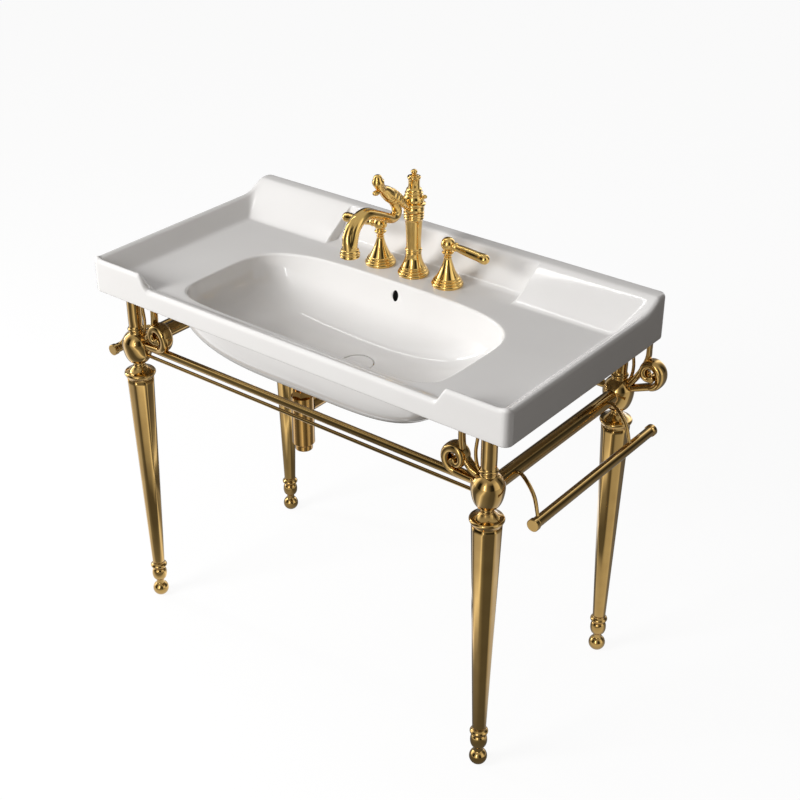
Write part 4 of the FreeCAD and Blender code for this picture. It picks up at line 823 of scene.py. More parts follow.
@dataclass
class Mixer:
    """The three-hole mixer: column, swivelling spout, and two lever handles."""

    setback: float = 136.0
    deck: float = 784.0
    spacing: float = 84.0
    base_radius: float = 32.0
    bell_top: float = 48.0
    shaft_top: float = 116.0
    band_top: float = 154.0
    bulb_top: float = 182.0
    reach: float = 196.0
    rise: float = 174.0
    outlet_end: float = 116.0

    def stacked_rings(self, radius: float) -> List[Corner]:
        """Three rounded rings, each smaller than the one below, from the deck up."""
        out: List[Corner] = [(0.0, 0.0, 0.0), (radius - 1.2, 0.0, 0.6)]
        for low, high, shrink in ((0.6, 7.2, 0.0), (8.0, 12.6, 3.2), (13.3, 17.4, 6.3)):
            edge = radius - shrink
            out.extend(bowed((edge - 1.6, low), (edge - 1.9, high), 1.6, 9))
            out.append((edge - 3.1, high + 0.3, 0.0))
        return out

    def column_profiles(self) -> Tuple[Array, Array, Array]:
        """Profiles of the base, of the shaft with its rings, and of the cap with its drum."""
        base = self.stacked_rings(self.base_radius)
        base += bowed((24.0, 18.4), (15.6, self.bell_top), -2.2, 16)
        base.append((0.0, self.bell_top, 0.0))
        shaft: List[Corner] = [(0.0, self.bell_top, 0.0), (14.6, self.bell_top, 0.0)]
        shaft += bowed((15.4, 48.6), (15.4, 50.8), 0.7, 7) + [(14.9, 51.4, 0.0)]
        shaft += bowed((15.9, 52.0), (15.9, 55.8), 1.1, 9) + [(15.0, 56.8, 0.5)]
        shaft += bowed((14.9, 58.4), (17.9, 117.5), -0.7, 20)
        shaft += bowed((18.9, 118.2), (18.9, 122.4), 1.1, 9) + [(18.4, 123.0, 0.0)]
        shaft += bowed((19.3, 123.5), (19.3, 128.0), 1.2, 9) + [(18.8, 128.6, 0.0)]
        shaft += bowed((19.4, 129.1), (19.4, 133.4), 1.2, 9) + [(15.0, 134.0, 0.3), (0.0, 134.0, 0.0)]
        start = self.band_top
        cap: List[Corner] = [(0.0, start, 0.0), (19.0, start, 0.5)]
        cap += bowed((20.0, start + 1.0), (17.0, start + 15.0), 2.2, 14)
        cap += [(16.2, start + 15.8, 0.0)] + bowed((17.4, start + 16.6), (16.6, start + 20.0), 1.0, 8)
        cap += [(15.6, start + 20.8, 0.0)] + bowed((15.4, start + 21.4), (12.6, self.bulb_top), 1.4, 8)
        cap += [(11.6, self.bulb_top + 1.0, 0.5)] + bowed((11.8, 184.0), (12.0, 200.0), -0.7, 10)
        cap += bowed((12.8, 201.2), (12.8, 205.4), 0.7, 8) + [(10.8, 206.0, 0.4), (0.0, 206.0, 0.0)]
        return rounded(base), rounded(shaft), rounded(cap)

    def build_column(self, finishes: Finishes) -> None:
        """Make the fixed column: base, shaft, cap with its small knob, and finial.

        Args:
            finishes: The object's finishes.
        """
        axis = (0.0, self.setback, self.deck)
        base, shaft, cap = (lathe(profile, axis) for profile in self.column_profiles())
        centre = np.array(axis)
        tail = centre + smooth_path([(15.0, -2.0, 160.5), (19.0, -1.0, 162.0), (21.0, 1.0, 164.8),
                                     (22.5, 1.5, 168.0), (26.0, 0.0, 169.5)], 24)
        knob = lathe(rounded([(0.0, -4.2, 0.0), (2.4, -3.8, 1.2), (3.8, -1.6, 1.4), (3.8, 1.6, 1.4),
                              (2.4, 3.8, 1.2), (0.0, 4.2, 0.0)]), centre + (27.0, 0.0, 169.5), RIGHT, 32)
        tail_patch = sweep(tail, UP, spread((3.4, 3.2, 2.4, 2.2), 24), spread((2.2, 2.4, 2.2, 2.2), 24), 24)
        finial = rounded([(0.0, 206.0, 0.0), (9.6, 206.0, 0.5), (8.6, 207.6, 0.8), (4.4, 209.0, 1.2)]
                         + bowed((3.4, 209.6), (1.6, 219.6), 4.0, 18) + [(0.0, 220.0, 0.0)])
        for name, patches in (("spout_base", [base]), ("spout_column", [shaft]),
                              ("column_cap", [cap, tail_patch, knob]),
                              ("column_finial", [lathe(finial, axis)])):
            Piece(f"{name}_turned", Body.STAND, Slot.TAP, (name,), patches).build(finishes.tap)

    def at(self, reach: float, rise: float) -> Tuple[float, float, float]:
        """A point of the spout's upright plane, so far in front of the column and above the deck."""
        return 0.0, self.setback - reach, self.deck + rise

    def build_spout(self, finishes: Finishes) -> None:
        """Make the swivelling spout: band, banded body with its drop-shaped head, tube and outlet.

        Args:
            finishes: The object's finishes.
        """
        bend, low, reach, rise = self.reach * 0.275, self.rise - 33, self.reach, self.rise
        route = [self.at(*spot) for spot in (
            (bend + 18, low + 43), (bend + 10, low + 31), (bend + 3, low + 21), (bend, low + 9),
            (bend + 6, low + 1), (bend + 19, low), (bend + 37, low + 9), (reach * 0.62, rise - 9),
            (reach * 0.745, rise), (reach * 0.86, rise - 4), (reach * 0.94, rise - 15),
            (reach * 0.985, rise - 30), (reach, self.outlet_end + 12), (reach, self.outlet_end))]
        radii = spread((8, 9, 9.6, 10, 10, 10.2, 10.6, 11.2, 11.8, 12.2, 12.8, 13.6, 14.6, 15), 120)

        def fold(share: Array, angle: Array) -> Array:
            """Two creases that turn a little round the tube along its arch, where the cosine is zero."""
            strength = 0.32 * step(share, 0.3, 0.5) * (1 - step(share, 0.84, 0.95))
            return 1 + strength * (np.abs(np.cos(angle - 1.3 + 2.5 * share)) - 0.6)

        tube = sweep(smooth_path(route, 120), RIGHT, radii, radii, 64, 2.0, 0.2, fold)
        body = [self.at(*spot) for spot in (
            (18, 147), (30, 157), (45, 169), (60, 179), (74, 189), (88, 200), (98, 208), (106, 217),
            (111, 227), (112, 234))]
        girth = spread((7, 8.5, 11.5, 14.5, 15.0, 12.6, 8.8, 9.8, 12.0, 8.6), 130)

        def bands(share: Array, angle: Array) -> Array:
            """Grooves that lean across the body, each a bell curve of the share of the path."""
            lean = share + 0.035 * np.cos(angle)
            groove = sum(np.exp(-((lean - middle) / 0.013) ** 2) for middle in (0.26, 0.34, 0.42, 0.5))
            return 1 - 0.13 * groove

        head = sweep(smooth_path(body, 130), RIGHT, girth, girth, 56, 2.0, 0.9, bands)
        bead_path = np.array([self.at(94, 205), self.at(103, 205), self.at(112, 206), self.at(121, 207)])
        bead_girth = spread((3.5, 2.6, 2.4, 2.6, 4.8, 5.4, 4.6), 40)
        bead = sweep(smooth_path(bead_path, 40), RIGHT, bead_girth, bead_girth, 32)
        axis = (0.0, self.setback, self.deck)
        ring: List[Corner] = [(0.0, 134.3, 0.0), (19.6, 134.3, 0.5)]
        ring += bowed((20.2, 135.4), (19.4, 144.6), 0.8, 10) + [(18.8, 145.4, 0.0)]
        ring += bowed((20.6, 146.2), (20.6, 152.8), 3.0, 14) + [(18.6, 153.7, 0.3), (0.0, 153.7, 0.0)]
        band = lathe(rounded(ring), axis)
        Piece("spout_arm_cast", Body.SPOUT, Slot.TAP, ("spout_arm",),
              [tube, head, bead, band]).build(finishes.tap)
        lip: List[Corner] = [(0.0, 12.0, 0.0), (11.0, 12.0, 0.4), (11.0, 0.6, 0.5), (12.2, 0.0, 0.5)]
        lip += bowed((16.8, 0.0), (18.4, 4.6), 1.5, 10) + [(17.4, 5.4, 0.0)]
        lip += bowed((17.9, 6.0), (17.9, 9.6), 1.4, 9) + [(16.8, 10.2, 0.0)]
        lip += bowed((17.2, 10.8), (16.0, 16.4), 1.2, 9) + [(14.6, 17.0, 0.3), (0.0, 17.0, 0.0)]
        seat = (0.0, self.setback - self.reach, self.deck + self.outlet_end - 12.0)
        Piece("spout_outlet_turned", Body.SPOUT, Slot.TAP, ("spout_outlet",),
              [lathe(rounded(lip), seat)]).build(finishes.tap)

    def build_handle(self, side: str, sign: float, body: Body, finishes: Finishes) -> None:
        """Make one valve cover and its lever.

        Args:
            side: The side's name.
            sign: -1 for the left, 1 for the right.
            body: The lever's body.
            finishes: The object's finishes.
        """
        axis = (sign * self.spacing, self.setback, self.deck)
        cover = self.stacked_rings(self.base_radius)
        cover += bowed((22.4, 18.4), (7.2, 57.6), -1.9, 20) + bowed((7.9, 58.0), (7.6, 60.0), 0.3, 5)
        cover.append((0.0, 60.0, 0.0))
        Piece(f"handle_base_{side}_turned", Body.STAND, Slot.TAP, (f"handle_base_{side}",),
              [lathe(rounded(cover), axis)]).build(finishes.tap)
        hub: List[Corner] = [(0.0, -24.0, 0.0), (5.0, -24.0, 0.5), (5.0, 60.4, 0.0), (6.6, 60.6, 0.3)]
        hub += bowed((6.8, 61.4), (10.4, 66.6), -0.6, 8) + [(11.4, 67.6, 0.4)]
        hub += bowed((11.6, 68.2), (11.4, 71.0), 0.7, 7) + [(9.4, 72.2, 0.3), (8.6, 74.2, 0.0)]
        sweep_angle = np.linspace(-1.0, np.pi / 2, 30)
        hub += [(14.2 * math.cos(a), 86.0 + 14.2 * math.sin(a), 0.0) for a in sweep_angle[1:-1]]
        hub.append((0.0, 100.2, 0.0))
        centre = np.array((sign * self.spacing, self.setback, self.deck + 86.0))
        outward = RIGHT * sign
        reach = np.array((6.0, 14.0, 22.0, 34.0, 48.0, 60.0, 68.0, 75.0, 81.0, 86.5))
        drop = 9.0 * reach / 88.0
        path = centre + outward * reach[:, None] - UP * drop[:, None]
        girth = spread((6.8, 6.2, 7.2, 8.3, 9.0, 9.3, 9.2, 9.6, 10.4, 10.5), 90)
        arm = sweep(smooth_path(path, 90), BACK, girth, girth, 56, 2.0, 0.95)
        collar_girth = spread((8.2, 9.4, 8.2), 14)
        collar = sweep(smooth_path(path[1:3], 14), BACK, collar_girth, collar_girth, 48, 2.0, 0.2)
        Piece(f"lever_{side}_cast", body, Slot.TAP, (f"lever_{side}",),
              [lathe(rounded(hub), axis), arm, collar]).build(finishes.tap)

    def build(self, finishes: Finishes) -> None:
        """Make every visible piece of the mixer."""
        self.build_column(finishes)
        self.build_spout(finishes)
        self.build_handle("left", -1.0, Body.LEFT_LEVER, finishes)
        self.build_handle("right", 1.0, Body.RIGHT_LEVER, finishes)


# ---------------------------------------------------------------- stand

class CornerPlace(Enum):
    """The four corners of the stand: name and the signs of X and Y."""

    FRONT_LEFT = ("front_left", -1.0, -1.0)
    FRONT_RIGHT = ("front_right", 1.0, -1.0)
    BACK_LEFT = ("back_left", -1.0, 1.0)
    BACK_RIGHT = ("back_right", 1.0, 1.0)


@dataclass
class Leg:
    """One leg: turned foot, faceted shaft, flared collar, egg-shaped hub and post."""

    half_span: float = 436.0
    half_depth: float = 219.0
    foot_top: float = 88.0
    shaft_top: float = 556.0
    foot_radius: float = 13.3
    shaft_radius: float = 28.5
    facet_start: float = 88.0
    facet_apothem: float = 27.16
    hub_level: float = 632.0
    hub_radius: float = 31.0

    def foot(self) -> Array:
        """Profile of the foot: ball, neck, bead and ring."""
        ball, centre = 17.5, 16.5
        start, end = math.asin(-centre / ball), math.asin(0.86)
        curve = [(ball * math.cos(a), centre + ball * math.sin(a), 0.0) for a in np.linspace(start, end, 30)]
        out: List[Corner] = [(0.0, 0.0, 0.0)] + curve
        out += [(9.0, 33.4, 0.8)] + bowed((8.8, 35.4), (9.2, 41.6), -0.3, 6)
        out += [(10.6, 42.6, 0.5)]
        out += [(10.6 + 6.0 * math.cos(a), 57.8 + 14.4 * math.sin(a), 0.0)
                for a in np.linspace(-1.5, 1.5, 26)]
        out += [(11.6, 73.2, 0.4)] + bowed((14.2, 74.2), (14.4, 84.8), 3.6, 16)
        out += [(13.4, 85.6, 0.3), (self.foot_radius, 87.8, 0.4), (0.0, self.foot_top, 0.0)]
        return rounded(out)

    def shaft(self, x: float, y: float) -> Patch:
        """The tapered shaft whose eight flats fade out downwards.

        The radius is a soft minimum of the cone's and of apothem / cos(angle from the flat's middle),
        through the minus seventieth root of the sum of their minus seventieth powers.

        Args:
            x: The axis.
            y: The axis.

        Returns:
            The points and the face arrays.
        """
        level = np.concatenate([np.linspace(self.foot_top, 150.0, 16),
                                np.linspace(160.0, self.shaft_top, 40)])
        share = (level - self.foot_top) / (self.shaft_top - self.foot_top)
        cone = self.foot_radius + (self.shaft_radius - self.foot_radius) * share
        start = self.foot_radius + (self.shaft_radius - self.foot_radius) * (
            (self.facet_start - self.foot_top) / (self.shaft_top - self.foot_top))
        rate = (self.facet_apothem - start) / (self.shaft_top - self.facet_start)
        flat = start + rate * (level - self.facet_start)
        local = np.linspace(-1.0, 1.0, 29)[:-1]
        local = np.sign(local) * (1 - (1 - np.abs(local)) ** 1.7) * np.pi / 8
        angle = (np.arange(8)[:, None] * np.pi / 4 + local[None]).ravel()
        wall = flat[:, None] / np.cos(np.tile(local, 8))[None]
        radius = (cone[:, None] ** -70.0 + wall ** -70.0) ** (-1 / 70.0)
        rings = np.stack([x + radius * np.cos(angle), y + radius * np.sin(angle),
                          np.broadcast_to(level[:, None], radius.shape)], axis=-1)
        top_centre = np.array((x, y, self.shaft_top))
        shrink = np.array((0.985, 0.9, 0.5))[:, None, None]
        lid = top_centre + (rings[-1] - top_centre) * shrink
        return closed_rings(np.concatenate([rings, lid]), np.array((x, y, self.foot_top)), top_centre)

    def collar(self) -> Array:
        """Profile of the flared collar between shaft and hub."""
        out: List[Corner] = [(0.0, 556.0, 0.0), (27.6, 556.0, 0.5), (27.8, 558.0, 0.6)]
        out += bowed((28.4, 559.4), (30.8, 562.6), 0.5, 7)
        out += bowed((31.3, 563.4), (31.3, 568.8), 0.9, 9)
        out += bowed((30.0, 570.0), (14.0, 581.0), -1.7, 16)
        out += [(12.6, 582.0, 0.4), (12.6, 584.6, 0.5), (0.0, 585.0, 0.0)]
        return rounded(out)

    def hub(self) -> Array:
        """Profile of the hub: a round upper half on a longer, pointed lower half."""
        low = np.linspace(0.0, 1.0, 34)
        span = self.hub_level - 592.0
        radius = 12.0 + (self.hub_radius - 12.0) * np.sin(low * np.pi / 2) ** 0.82
        level = 592.0 + span * (1 - np.cos(low * np.pi / 2) ** 1.25)
        turn = np.linspace(0.0, 1.02, 24)[1:]
        out: List[Corner] = [(0.0, 585.0, 0.0), (11.6, 585.0, 0.4)]
        out += bowed((11.2, 586.0), (11.8, 591.0), -0.6, 6)
        out += [(float(r), float(z), 0.0) for r, z in zip(radius, level)]
        out += [(self.hub_radius * math.cos(a), self.hub_level + self.hub_radius * math.sin(a), 0.0)
                for a in turn]
        out += [(15.6, 659.4, 0.6), (15.4, 663.0, 0.4), (0.0, 663.0, 0.0)]
        return rounded(out)

    def post(self) -> Array:
        """Profile of the post: a moulded ring, a short cove and a plain barrel up to the pad."""
        out: List[Corner] = [(0.0, 663.0, 0.0)] + bowed((15.8, 663.2), (16.0, 669.0), 1.6, 10)
        out += [(15.0, 669.8, 0.3)] + bowed((15.2, 670.6), (14.4, 676.4), -0.5, 8)
        out += [(14.6, 690.0, 0.0), (14.6, 763.4, 1.0), (13.8, 764.9, 0.4), (0.0, 765.0, 0.0)]
        return rounded(out)

    def build(self, place: CornerPlace, finishes: Finishes) -> None:
        """Make the five pieces of one leg.

        Args:
            place: The corner.
            finishes: The object's finishes.
        """
        name, sign_x, sign_y = place.value
        x, y = sign_x * self.half_span, sign_y * self.half_depth
        turned = {"foot": self.foot(), "collar": self.collar(), "hub": self.hub(), "post": self.post()}
        for part, profile in turned.items():
            Piece(f"{part}_{name}_turned", Body.STAND, Slot.FRAME, (f"{part}_{name}",),
                  [lathe(profile, (x, y, 0.0))]).build(finishes.stand)
        Piece(f"leg_{name}_faceted", Body.STAND, Slot.FRAME, (f"leg_{name}",),
              [self.shaft(x, y)]).build(finishes.stand)


@dataclass
class ScrollBracket:
    """A rolled leaf beside a hub, with a strap up to the basin and a slender brace."""

    half_span: float = 436.0
    half_depth: float = 219.0
    hub_level: float = 632.0
    reach: float = 66.0
    rise_front: float = 36.0
    rise_back: float = 58.0
    outer: float = 27.5
    inner: float = 8.5
    stretch: float = 1.12
    turns: float = 1.15
    wide: float = 14.0

    def build(self, place: CornerPlace, finishes: Finishes) -> None:
        """Make one bracket.

        The leaf's middle line runs from the hub into a spiral whose radius falls with the angle.

        Args:
            place: The corner; front brackets run inwards, back ones outwards.
            finishes: The object's finishes.
        """
        name, sign_x, sign_y = place.value
        outward = sign_x if sign_y > 0 else -sign_x
        rise = self.rise_back if sign_y > 0 else self.rise_front
        ceiling = 768.0
        strap_top = 749.0 if sign_y > 0 else ceiling
        origin = np.array((sign_x * self.half_span, sign_y * self.half_depth, self.hub_level))

        def placed(flat: Array) -> Array:
            """Points (run, height) of the bracket's plane in space."""
            return origin + flat[:, 0, None] * RIGHT * outward + flat[:, 1, None] * UP

        start = rise - self.outer * self.stretch
        share = np.linspace(0.0, 1.0, 40)
        angle = -math.pi * 0.62 + share * self.turns * 2 * math.pi
        radius = self.outer + (self.inner - self.outer) * share ** 0.9
        spiral = np.stack([self.reach + radius * np.cos(angle),
                           rise + radius * self.stretch * np.sin(angle)], axis=1)
        lead = np.array([(22.0, start / 2 + 3.5), (28.0, start / 2 + 2.5), (34.0, start / 2 + 2.0)])
        flat = smooth_path(np.vstack([lead, spiral[2:]]), 200)
        leaf = sweep(placed(flat), BACK, spread((9, 13, 15, 15, 15, 14, 13), 200),
                     spread((6, 8, 9.6, 9.6, 8.6, 7, 5.4), 200), 56, 2.6, 0.7)
        eye = placed(spiral[-1:])[0]
        half = self.wide * 0.92
        drum = lathe(rounded([(0.0, -half, 0.0), (5.6, -half, 1.6), (7.4, 1.8 - half, 1.0),
                              (7.4, half - 1.8, 1.0), (5.6, half, 1.6), (0.0, half, 0.0)]), eye, BACK, 48)
        top = strap_top - self.hub_level
        strap_flat = smooth_path([(20.0, 17.0), (35.0, rise * 0.5 + 8), (49.0, rise + 6), (57.0, rise + 30),
                                  (58.0, top - 12), (58.0, top - 0.4)], 80)
        strap = sweep(placed(strap_flat), BACK, spread((9, 10.5, 9, 8, 8), 80),
                      spread((6.2, 6, 4.8, 4, 4), 80), 40, 3.0, 0.1)
        brace_top = ceiling - self.hub_level
        brace_flat = smooth_path([(15.0, 22.0), (24.0, 34.0), (28.0, 60.0), (24.0, brace_top - 40),
                                  (22.0, brace_top - 0.4)], 60)
        brace_girth = spread((3.4, 3.0), 60)
        brace = sweep(placed(brace_flat), BACK, brace_girth, brace_girth, 28, 2.0, 0.1)
        Piece(f"scroll_bracket_{name}_rolled", Body.STAND, Slot.FRAME, (f"scroll_bracket_{name}",),
              [leaf, drum, strap, brace]).build(finishes.stand)


@dataclass
class Rails:
    """Rails between the hubs, and the towel bars on their arms."""

    half_span: float = 436.0
    half_depth: float = 219.0
    socket: float = 18.0
    bar_x: float = 525.0
    bar_z: float = 584.0
    bar_front: float = 212.0
    bar_back: float = 200.0
    bar_radius: float = 10.0
    cap_radius: float = 11.8

    def rod(self, radius: float, half: float, centre: Sequence[float], axis: Array) -> Patch:
        """A plain round rod about its middle."""
        profile = rounded([(0.0, -half, 0.0), (radius, -half, 0.6), (radius, half, 0.6), (0.0, half, 0.0)])
        return lathe(profile, centre, axis, 64)

    def build(self, finishes: Finishes) -> None:
        """Make the rails, the towel bars and their arms.

        Args:
            finishes: The object's finishes.
        """
        run = self.half_span - self.socket
        for node, radius, y, z in (("front_rail", 8.0, -1.0, 634.0), ("front_rod", 3.6, -1.0, 613.0),
                                   ("back_rail", 8.0, 1.0, 634.0)):
            patch = self.rod(radius, run, (0.0, y * self.half_depth, z), RIGHT)
            Piece(f"{node}_drawn", Body.STAND, Slot.FRAME, (node,), [patch]).build(finishes.stand)
        for side, sign in (("left", -1.0), ("right", 1.0)):
            patch = self.rod(15.0, self.half_depth - self.socket, (sign * self.half_span, 0.0, 628.0), BACK)
            Piece(f"side_rail_{side}_drawn", Body.STAND, Slot.FRAME, (f"side_rail_{side}",),
                  [patch]).build(finishes.stand)
            cap, bar, front, back = self.cap_radius, self.bar_radius, self.bar_front, self.bar_back
            profile: List[Corner] = [
                (0.0, -front, 0.0), (cap, -front, 1.3), (cap, 9.5 - front, 0.8),
                (bar - 0.6, 10.4 - front, 0.4), (bar, 11.6 - front, 0.5), (bar, back - 11.6, 0.5),
                (bar - 0.6, back - 10.4, 0.4), (cap, back - 9.5, 0.8), (cap, back, 1.3), (0.0, back, 0.0)]
            turned = lathe(rounded(profile), (sign * self.bar_x, 0.0, self.bar_z), BACK, 64)
            Piece(f"towel_bar_{side}_turned", Body.STAND, Slot.FRAME, (f"towel_bar_{side}",),
                  [turned]).build(finishes.stand)
            arms = []
            for place in (-150.0, 160.0):
                root = np.array((sign * self.half_span, place, 634.0))
                tip = np.array((sign * self.bar_x, place - 44.0, self.bar_z))
                span = tip - root
                path = smooth_path([root + span * (0.1, 0.04, 0.0), root + span * (0.35, 0.2, 0.0) + UP * 3,
                                    root + span * (0.75, 0.6, 0.3), tip + (0.0, 0.0, 4.0)], 50)
                girth = spread((3.0, 3.6, 3.8, 3.6, 3.2), 50)
                arms.append(sweep(path, BACK, girth, girth, 32))
            Piece(f"towel_arms_{side}_bent", Body.STAND, Slot.FRAME, (f"towel_arms_{side}",),
                  arms).build(finishes.stand)


@dataclass
class HiddenFittings:
    """Frame nodes whose shape is right and that only get a better finish."""

    plumbing: Tuple[str, ...] = ("waste_body", "waste_stem", "waste_nut", "offset_pipe", "trap_body",
                                 "slip_nuts", "trap_outlet_pipe", "wall_flange", "spout_shank",
                                 "valve_bodies", "deck_nuts", "crossover_pipes")
    rubber: Tuple[str, ...] = ("waste_seal", "deck_washers", "post_pads")

    def dress(self, finishes: Finishes) -> None:
        """Put each finish on its nodes.

        Args:
            finishes: The object's finishes.
        """
        for names, material in ((self.plumbing, finishes.plumbing), (self.rubber, finishes.rubber)):
            for name in names:
                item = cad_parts[name]
                for index in range(len(item.material_slots)):
                    item.material_slots[index].material = material
                LOG.info("%s: %s", name, material.name)


# ---------------------------------------------------------------- studio

@dataclass
class Studio:
    """A pale floor, soft lamps, a dark card that keeps the right side in shade, and the camera."""

    image: int = 800
    focal_px: float = 1463.5
    eye: Tuple[float, float, float] = (1.6187, -1.9861, 2.0026)
    yaw: float = 37.898
    pitch: float = 29.491
    roll: float = 0.138
    sensor_mm: float = 36.0
    far_m: float = 60.0
    floor_half_m: float = 30.0

    def camera(self) -> None:
        """Set the camera at the photograph's viewing angle."""
        data = bpy.data.cameras.new("camera")
        data.sensor_width = self.sensor_mm
        data.sensor_fit = "HORIZONTAL"
        data.lens = self.focal_px * self.sensor_mm / self.image
        data.clip_end = self.far_m
        item = bpy.data.objects.new("camera", data)
        yaw, pitch = math.radians(self.yaw), math.radians(self.pitch)
        forward = Vector((-math.sin(yaw) * math.cos(pitch), math.cos(yaw) * math.cos(pitch),
                          -math.sin(pitch)))
        right = forward.cross(Vector((0.0, 0.0, 1.0))).normalized()
        up = right.cross(forward)
        turn = Matrix((right, up, -forward)).transposed().to_4x4()
        item.matrix_world = Matrix.Translation(Vector(self.eye)) @ turn @ Euler(
            (0.0, 0.0, math.radians(self.roll))).to_matrix().to_4x4()
        bpy.context.scene.collection.objects.link(item)
        bpy.context.scene.camera = item

    def sectors(self, tree: bpy.types.NodeTree, place: bpy.types.NodeSocket) -> bpy.types.NodeSocket:
        """Light and dark sectors round the object, which polished metal shows as streaks.

        Args:
            tree: The node tree to add to.
            place: A position or direction whose angle round Z picks the sector.

        Returns:
            The socket with the sectors' colour.
        """
        wheel = add_node(tree, "ShaderNodeTexGradient", {"gradient_type": "RADIAL"}, {"Vector": place})
        ramp = add_node(tree, "ShaderNodeValToRGB", inputs={"Fac": wheel.outputs["Fac"]})
        stops = ramp.color_ramp.elements
        for index, (spot, level) in enumerate(SECTORS):
            stop = stops[index] if index < 2 else stops.new(spot)
            stop.position = spot
            stop.color = (level, level, level, 1.0)
        return ramp.outputs["Color"]

    def world(self) -> None:
        """White for the camera, sectors for reflections, a softer grey as ambient light."""
        world = bpy.data.worlds.new("studio")
        bpy.context.scene.world = world
        world.use_nodes = True
        tree = world.node_tree
        tree.nodes.clear()
        path = add_node(tree, "ShaderNodeLightPath")
        way = add_node(tree, "ShaderNodeTexCoord").outputs["Generated"]
        height = add_node(tree, "ShaderNodeSeparateXYZ", inputs={"Vector": way})
        above = add_node(tree, "ShaderNodeMapRange", inputs={
            "Value": height.outputs["Z"], "From Min": 0.55, "From Max": 0.85})
        across = add_node(tree, "ShaderNodeMapRange", inputs={
            "Value": height.outputs["X"], "From Min": -0.8, "From Max": 0.6})
        ambient = add_node(tree, "ShaderNodeMix", {"data_type": "RGBA"}, {
            "Factor": across.outputs["Result"], "A": (0.42, 0.42, 0.43, 1.0), "B": (0.28, 0.265, 0.25, 1.0)})
        mirror = add_node(tree, "ShaderNodeMix", {"data_type": "RGBA"}, {
            "Factor": above.outputs["Result"], "A": self.sectors(tree, way), "B": (0.55, 0.55, 0.56, 1.0)})
        soft = add_node(tree, "ShaderNodeMix", {"data_type": "RGBA"}, {
            "Factor": path.outputs["Is Glossy Ray"], "A": ambient.outputs["Result"],
            "B": mirror.outputs["Result"]})
        seen = add_node(tree, "ShaderNodeMix", {"data_type": "RGBA"}, {
            "Factor": path.outputs["Is Camera Ray"], "A": soft.outputs["Result"], "B": (1.0, 1.0, 1.0, 1.0)})
        light = add_node(tree, "ShaderNodeBackground", inputs={"Color": seen.outputs["Result"]})
        add_node(tree, "ShaderNodeOutputWorld", inputs={"Surface": light.outputs["Background"]})

    def floor(self) -> None:
        """The pale floor, nearly white to the camera, with the object's soft shadow kept."""
        material, tree = blank_material("pale_floor")
        path = add_node(tree, "ShaderNodeLightPath")
        place = add_node(tree, "ShaderNodeTexCoord").outputs["Object"]
        plain = add_node(tree, "ShaderNodeBsdfDiffuse", inputs={"Color": (0.15, 0.138, 0.127, 1.0)})
        part = add_node(tree, "ShaderNodeBsdfDiffuse", inputs={"Color": (0.1, 0.1, 0.1, 1.0)})
        glow = add_node(tree, "ShaderNodeEmission", inputs={"Color": (1.0, 1.0, 1.0, 1.0), "Strength": 0.915})
        both = add_node(tree, "ShaderNodeAddShader", inputs={0: part.outputs[0], 1: glow.outputs[0]})
        veil = add_node(tree, "ShaderNodeMix", {"data_type": "RGBA"}, {
            "Factor": 0.2, "A": self.sectors(tree, place), "B": (1.0, 0.98, 0.95, 1.0)})
        streaks = add_node(tree, "ShaderNodeEmission", inputs={
            "Color": veil.outputs["Result"], "Strength": 0.66})
        mix = add_node(tree, "ShaderNodeMixShader", inputs={
            0: path.outputs["Is Glossy Ray"], 1: plain.outputs[0], 2: streaks.outputs[0]})
        mix = add_node(tree, "ShaderNodeMixShader", inputs={
            0: path.outputs["Is Camera Ray"], 1: mix.outputs[0], 2: both.outputs[0]})
        add_node(tree, "ShaderNodeOutputMaterial", inputs={"Surface": mix.outputs[0]})
        mesh = bpy.data.meshes.new("floor")
        half = self.floor_half_m
        mesh.from_pydata([(-half, -half, 0), (half, -half, 0), (half, half, 0), (-half, half, 0)],
                         [], [(0, 1, 2, 3)])
        mesh.materials.append(material)
        item = bpy.data.objects.new("floor", mesh)
        bpy.context.scene.collection.objects.link(item)

    def lamp(self, name: str, place: Sequence[float], aim: Sequence[float], size: Tuple[float, float],
             power: float, mirrored: bool = True) -> None:
        """A rectangular soft lamp.

        Args:
            name: The lamp's name.
            place: Where it hangs, in metres.
            aim: What it faces.
            size: Width and height in metres.
            power: Watts.
            mirrored: Whether polished surfaces show it.
        """
        data = bpy.data.lights.new(name, "AREA")
        data.shape = "RECTANGLE"
        data.size, data.size_y = size
        data.energy = power
        item = bpy.data.objects.new(name, data)
        item.location = place
        item.rotation_euler = (Vector(aim) - Vector(place)).to_track_quat("-Z", "Y").to_euler()
        item.visible_glossy = mirrored
        bpy.context.scene.collection.objects.link(item)

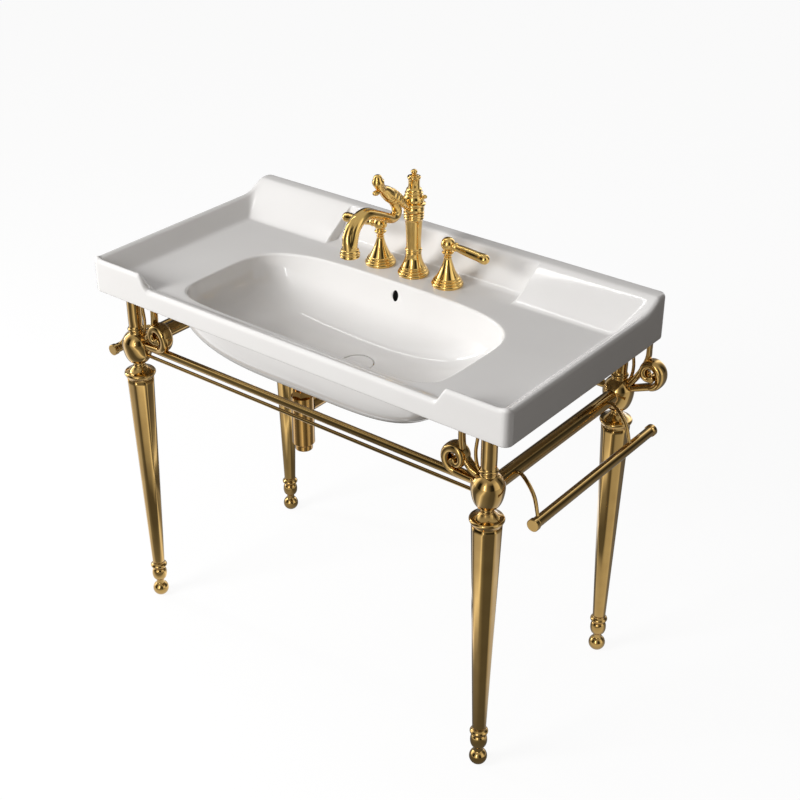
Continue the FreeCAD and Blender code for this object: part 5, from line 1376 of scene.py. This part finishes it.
    def card(self, name: str, place: Sequence[float], aim: Sequence[float],
             size: Tuple[float, float]) -> None:
        """A dark card that only soft light meets, which keeps the side behind it in shade.

        Args:
            name: The card's name.
            place: Its middle, in metres.
            aim: What it faces.
            size: Width and height in metres.
        """
        material, tree = blank_material(name)
        dark = add_node(tree, "ShaderNodeBsdfDiffuse", inputs={"Color": linear("#181410")})
        add_node(tree, "ShaderNodeOutputMaterial", inputs={"Surface": dark.outputs[0]})
        mesh = bpy.data.meshes.new(name)
        w, h = size[0] / 2, size[1] / 2
        mesh.from_pydata([(-w, -h, 0), (w, -h, 0), (w, h, 0), (-w, h, 0)], [], [(0, 1, 2, 3)])
        mesh.materials.append(material)
        item = bpy.data.objects.new(name, mesh)
        item.location = place
        item.rotation_euler = (Vector(aim) - Vector(place)).to_track_quat("-Z", "Y").to_euler()
        item.visible_camera = False
        item.visible_glossy = False
        item.visible_shadow = False
        item.visible_transmission = False
        bpy.context.scene.collection.objects.link(item)

    def build(self) -> None:
        """Set the stage."""
        bpy.context.scene.view_settings.view_transform = "Standard"
        self.camera()
        self.world()
        self.floor()
        self.lamp("key", (-1.7, -3.5, 2.3), (0.0, 0.0, 0.6), (1.7, 1.7), 155.0, False)
        self.lamp("top", (-1.35, 0.0, 2.95), (-0.4, 0.2, 0.8), (0.09, 1.7), 3.8)
        self.lamp("strip_left", (-2.1, -0.4, 1.3), (0.0, 0.0, 0.7), (0.1, 1.6), 7.0)
        self.lamp("strip_front", (0.9, -2.8, 1.5), (0.0, 0.0, 0.8), (0.09, 1.4), 6.0)
        self.card("card_right", (2.6, 0.2, 0.8), (0.0, 0.0, 0.7), (2.6, 1.8))


# ---------------------------------------------------------------- assembly

def corners(bounds: Tuple[Vector, Vector]) -> List[List[float]]:
    """The two corners of a box as plain lists."""
    return [[float(number) for number in corner] for corner in bounds]


def main() -> None:
    """Build the looks of the sink in order."""
    logging.basicConfig(level=logging.INFO, format="%(name)s %(message)s")
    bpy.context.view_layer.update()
    Studio().build()
    finishes = Finishes.make()
    Basin().build(finishes)
    PopUpWaste().build(finishes)
    Mixer().build(finishes)
    for place in CornerPlace:
        Leg().build(place, finishes)
        ScrollBracket().build(place, finishes)
    Rails().build(finishes)
    HiddenFittings().dress(finishes)
    bpy.context.view_layer.update()


if __name__ == "__main__":
    main()
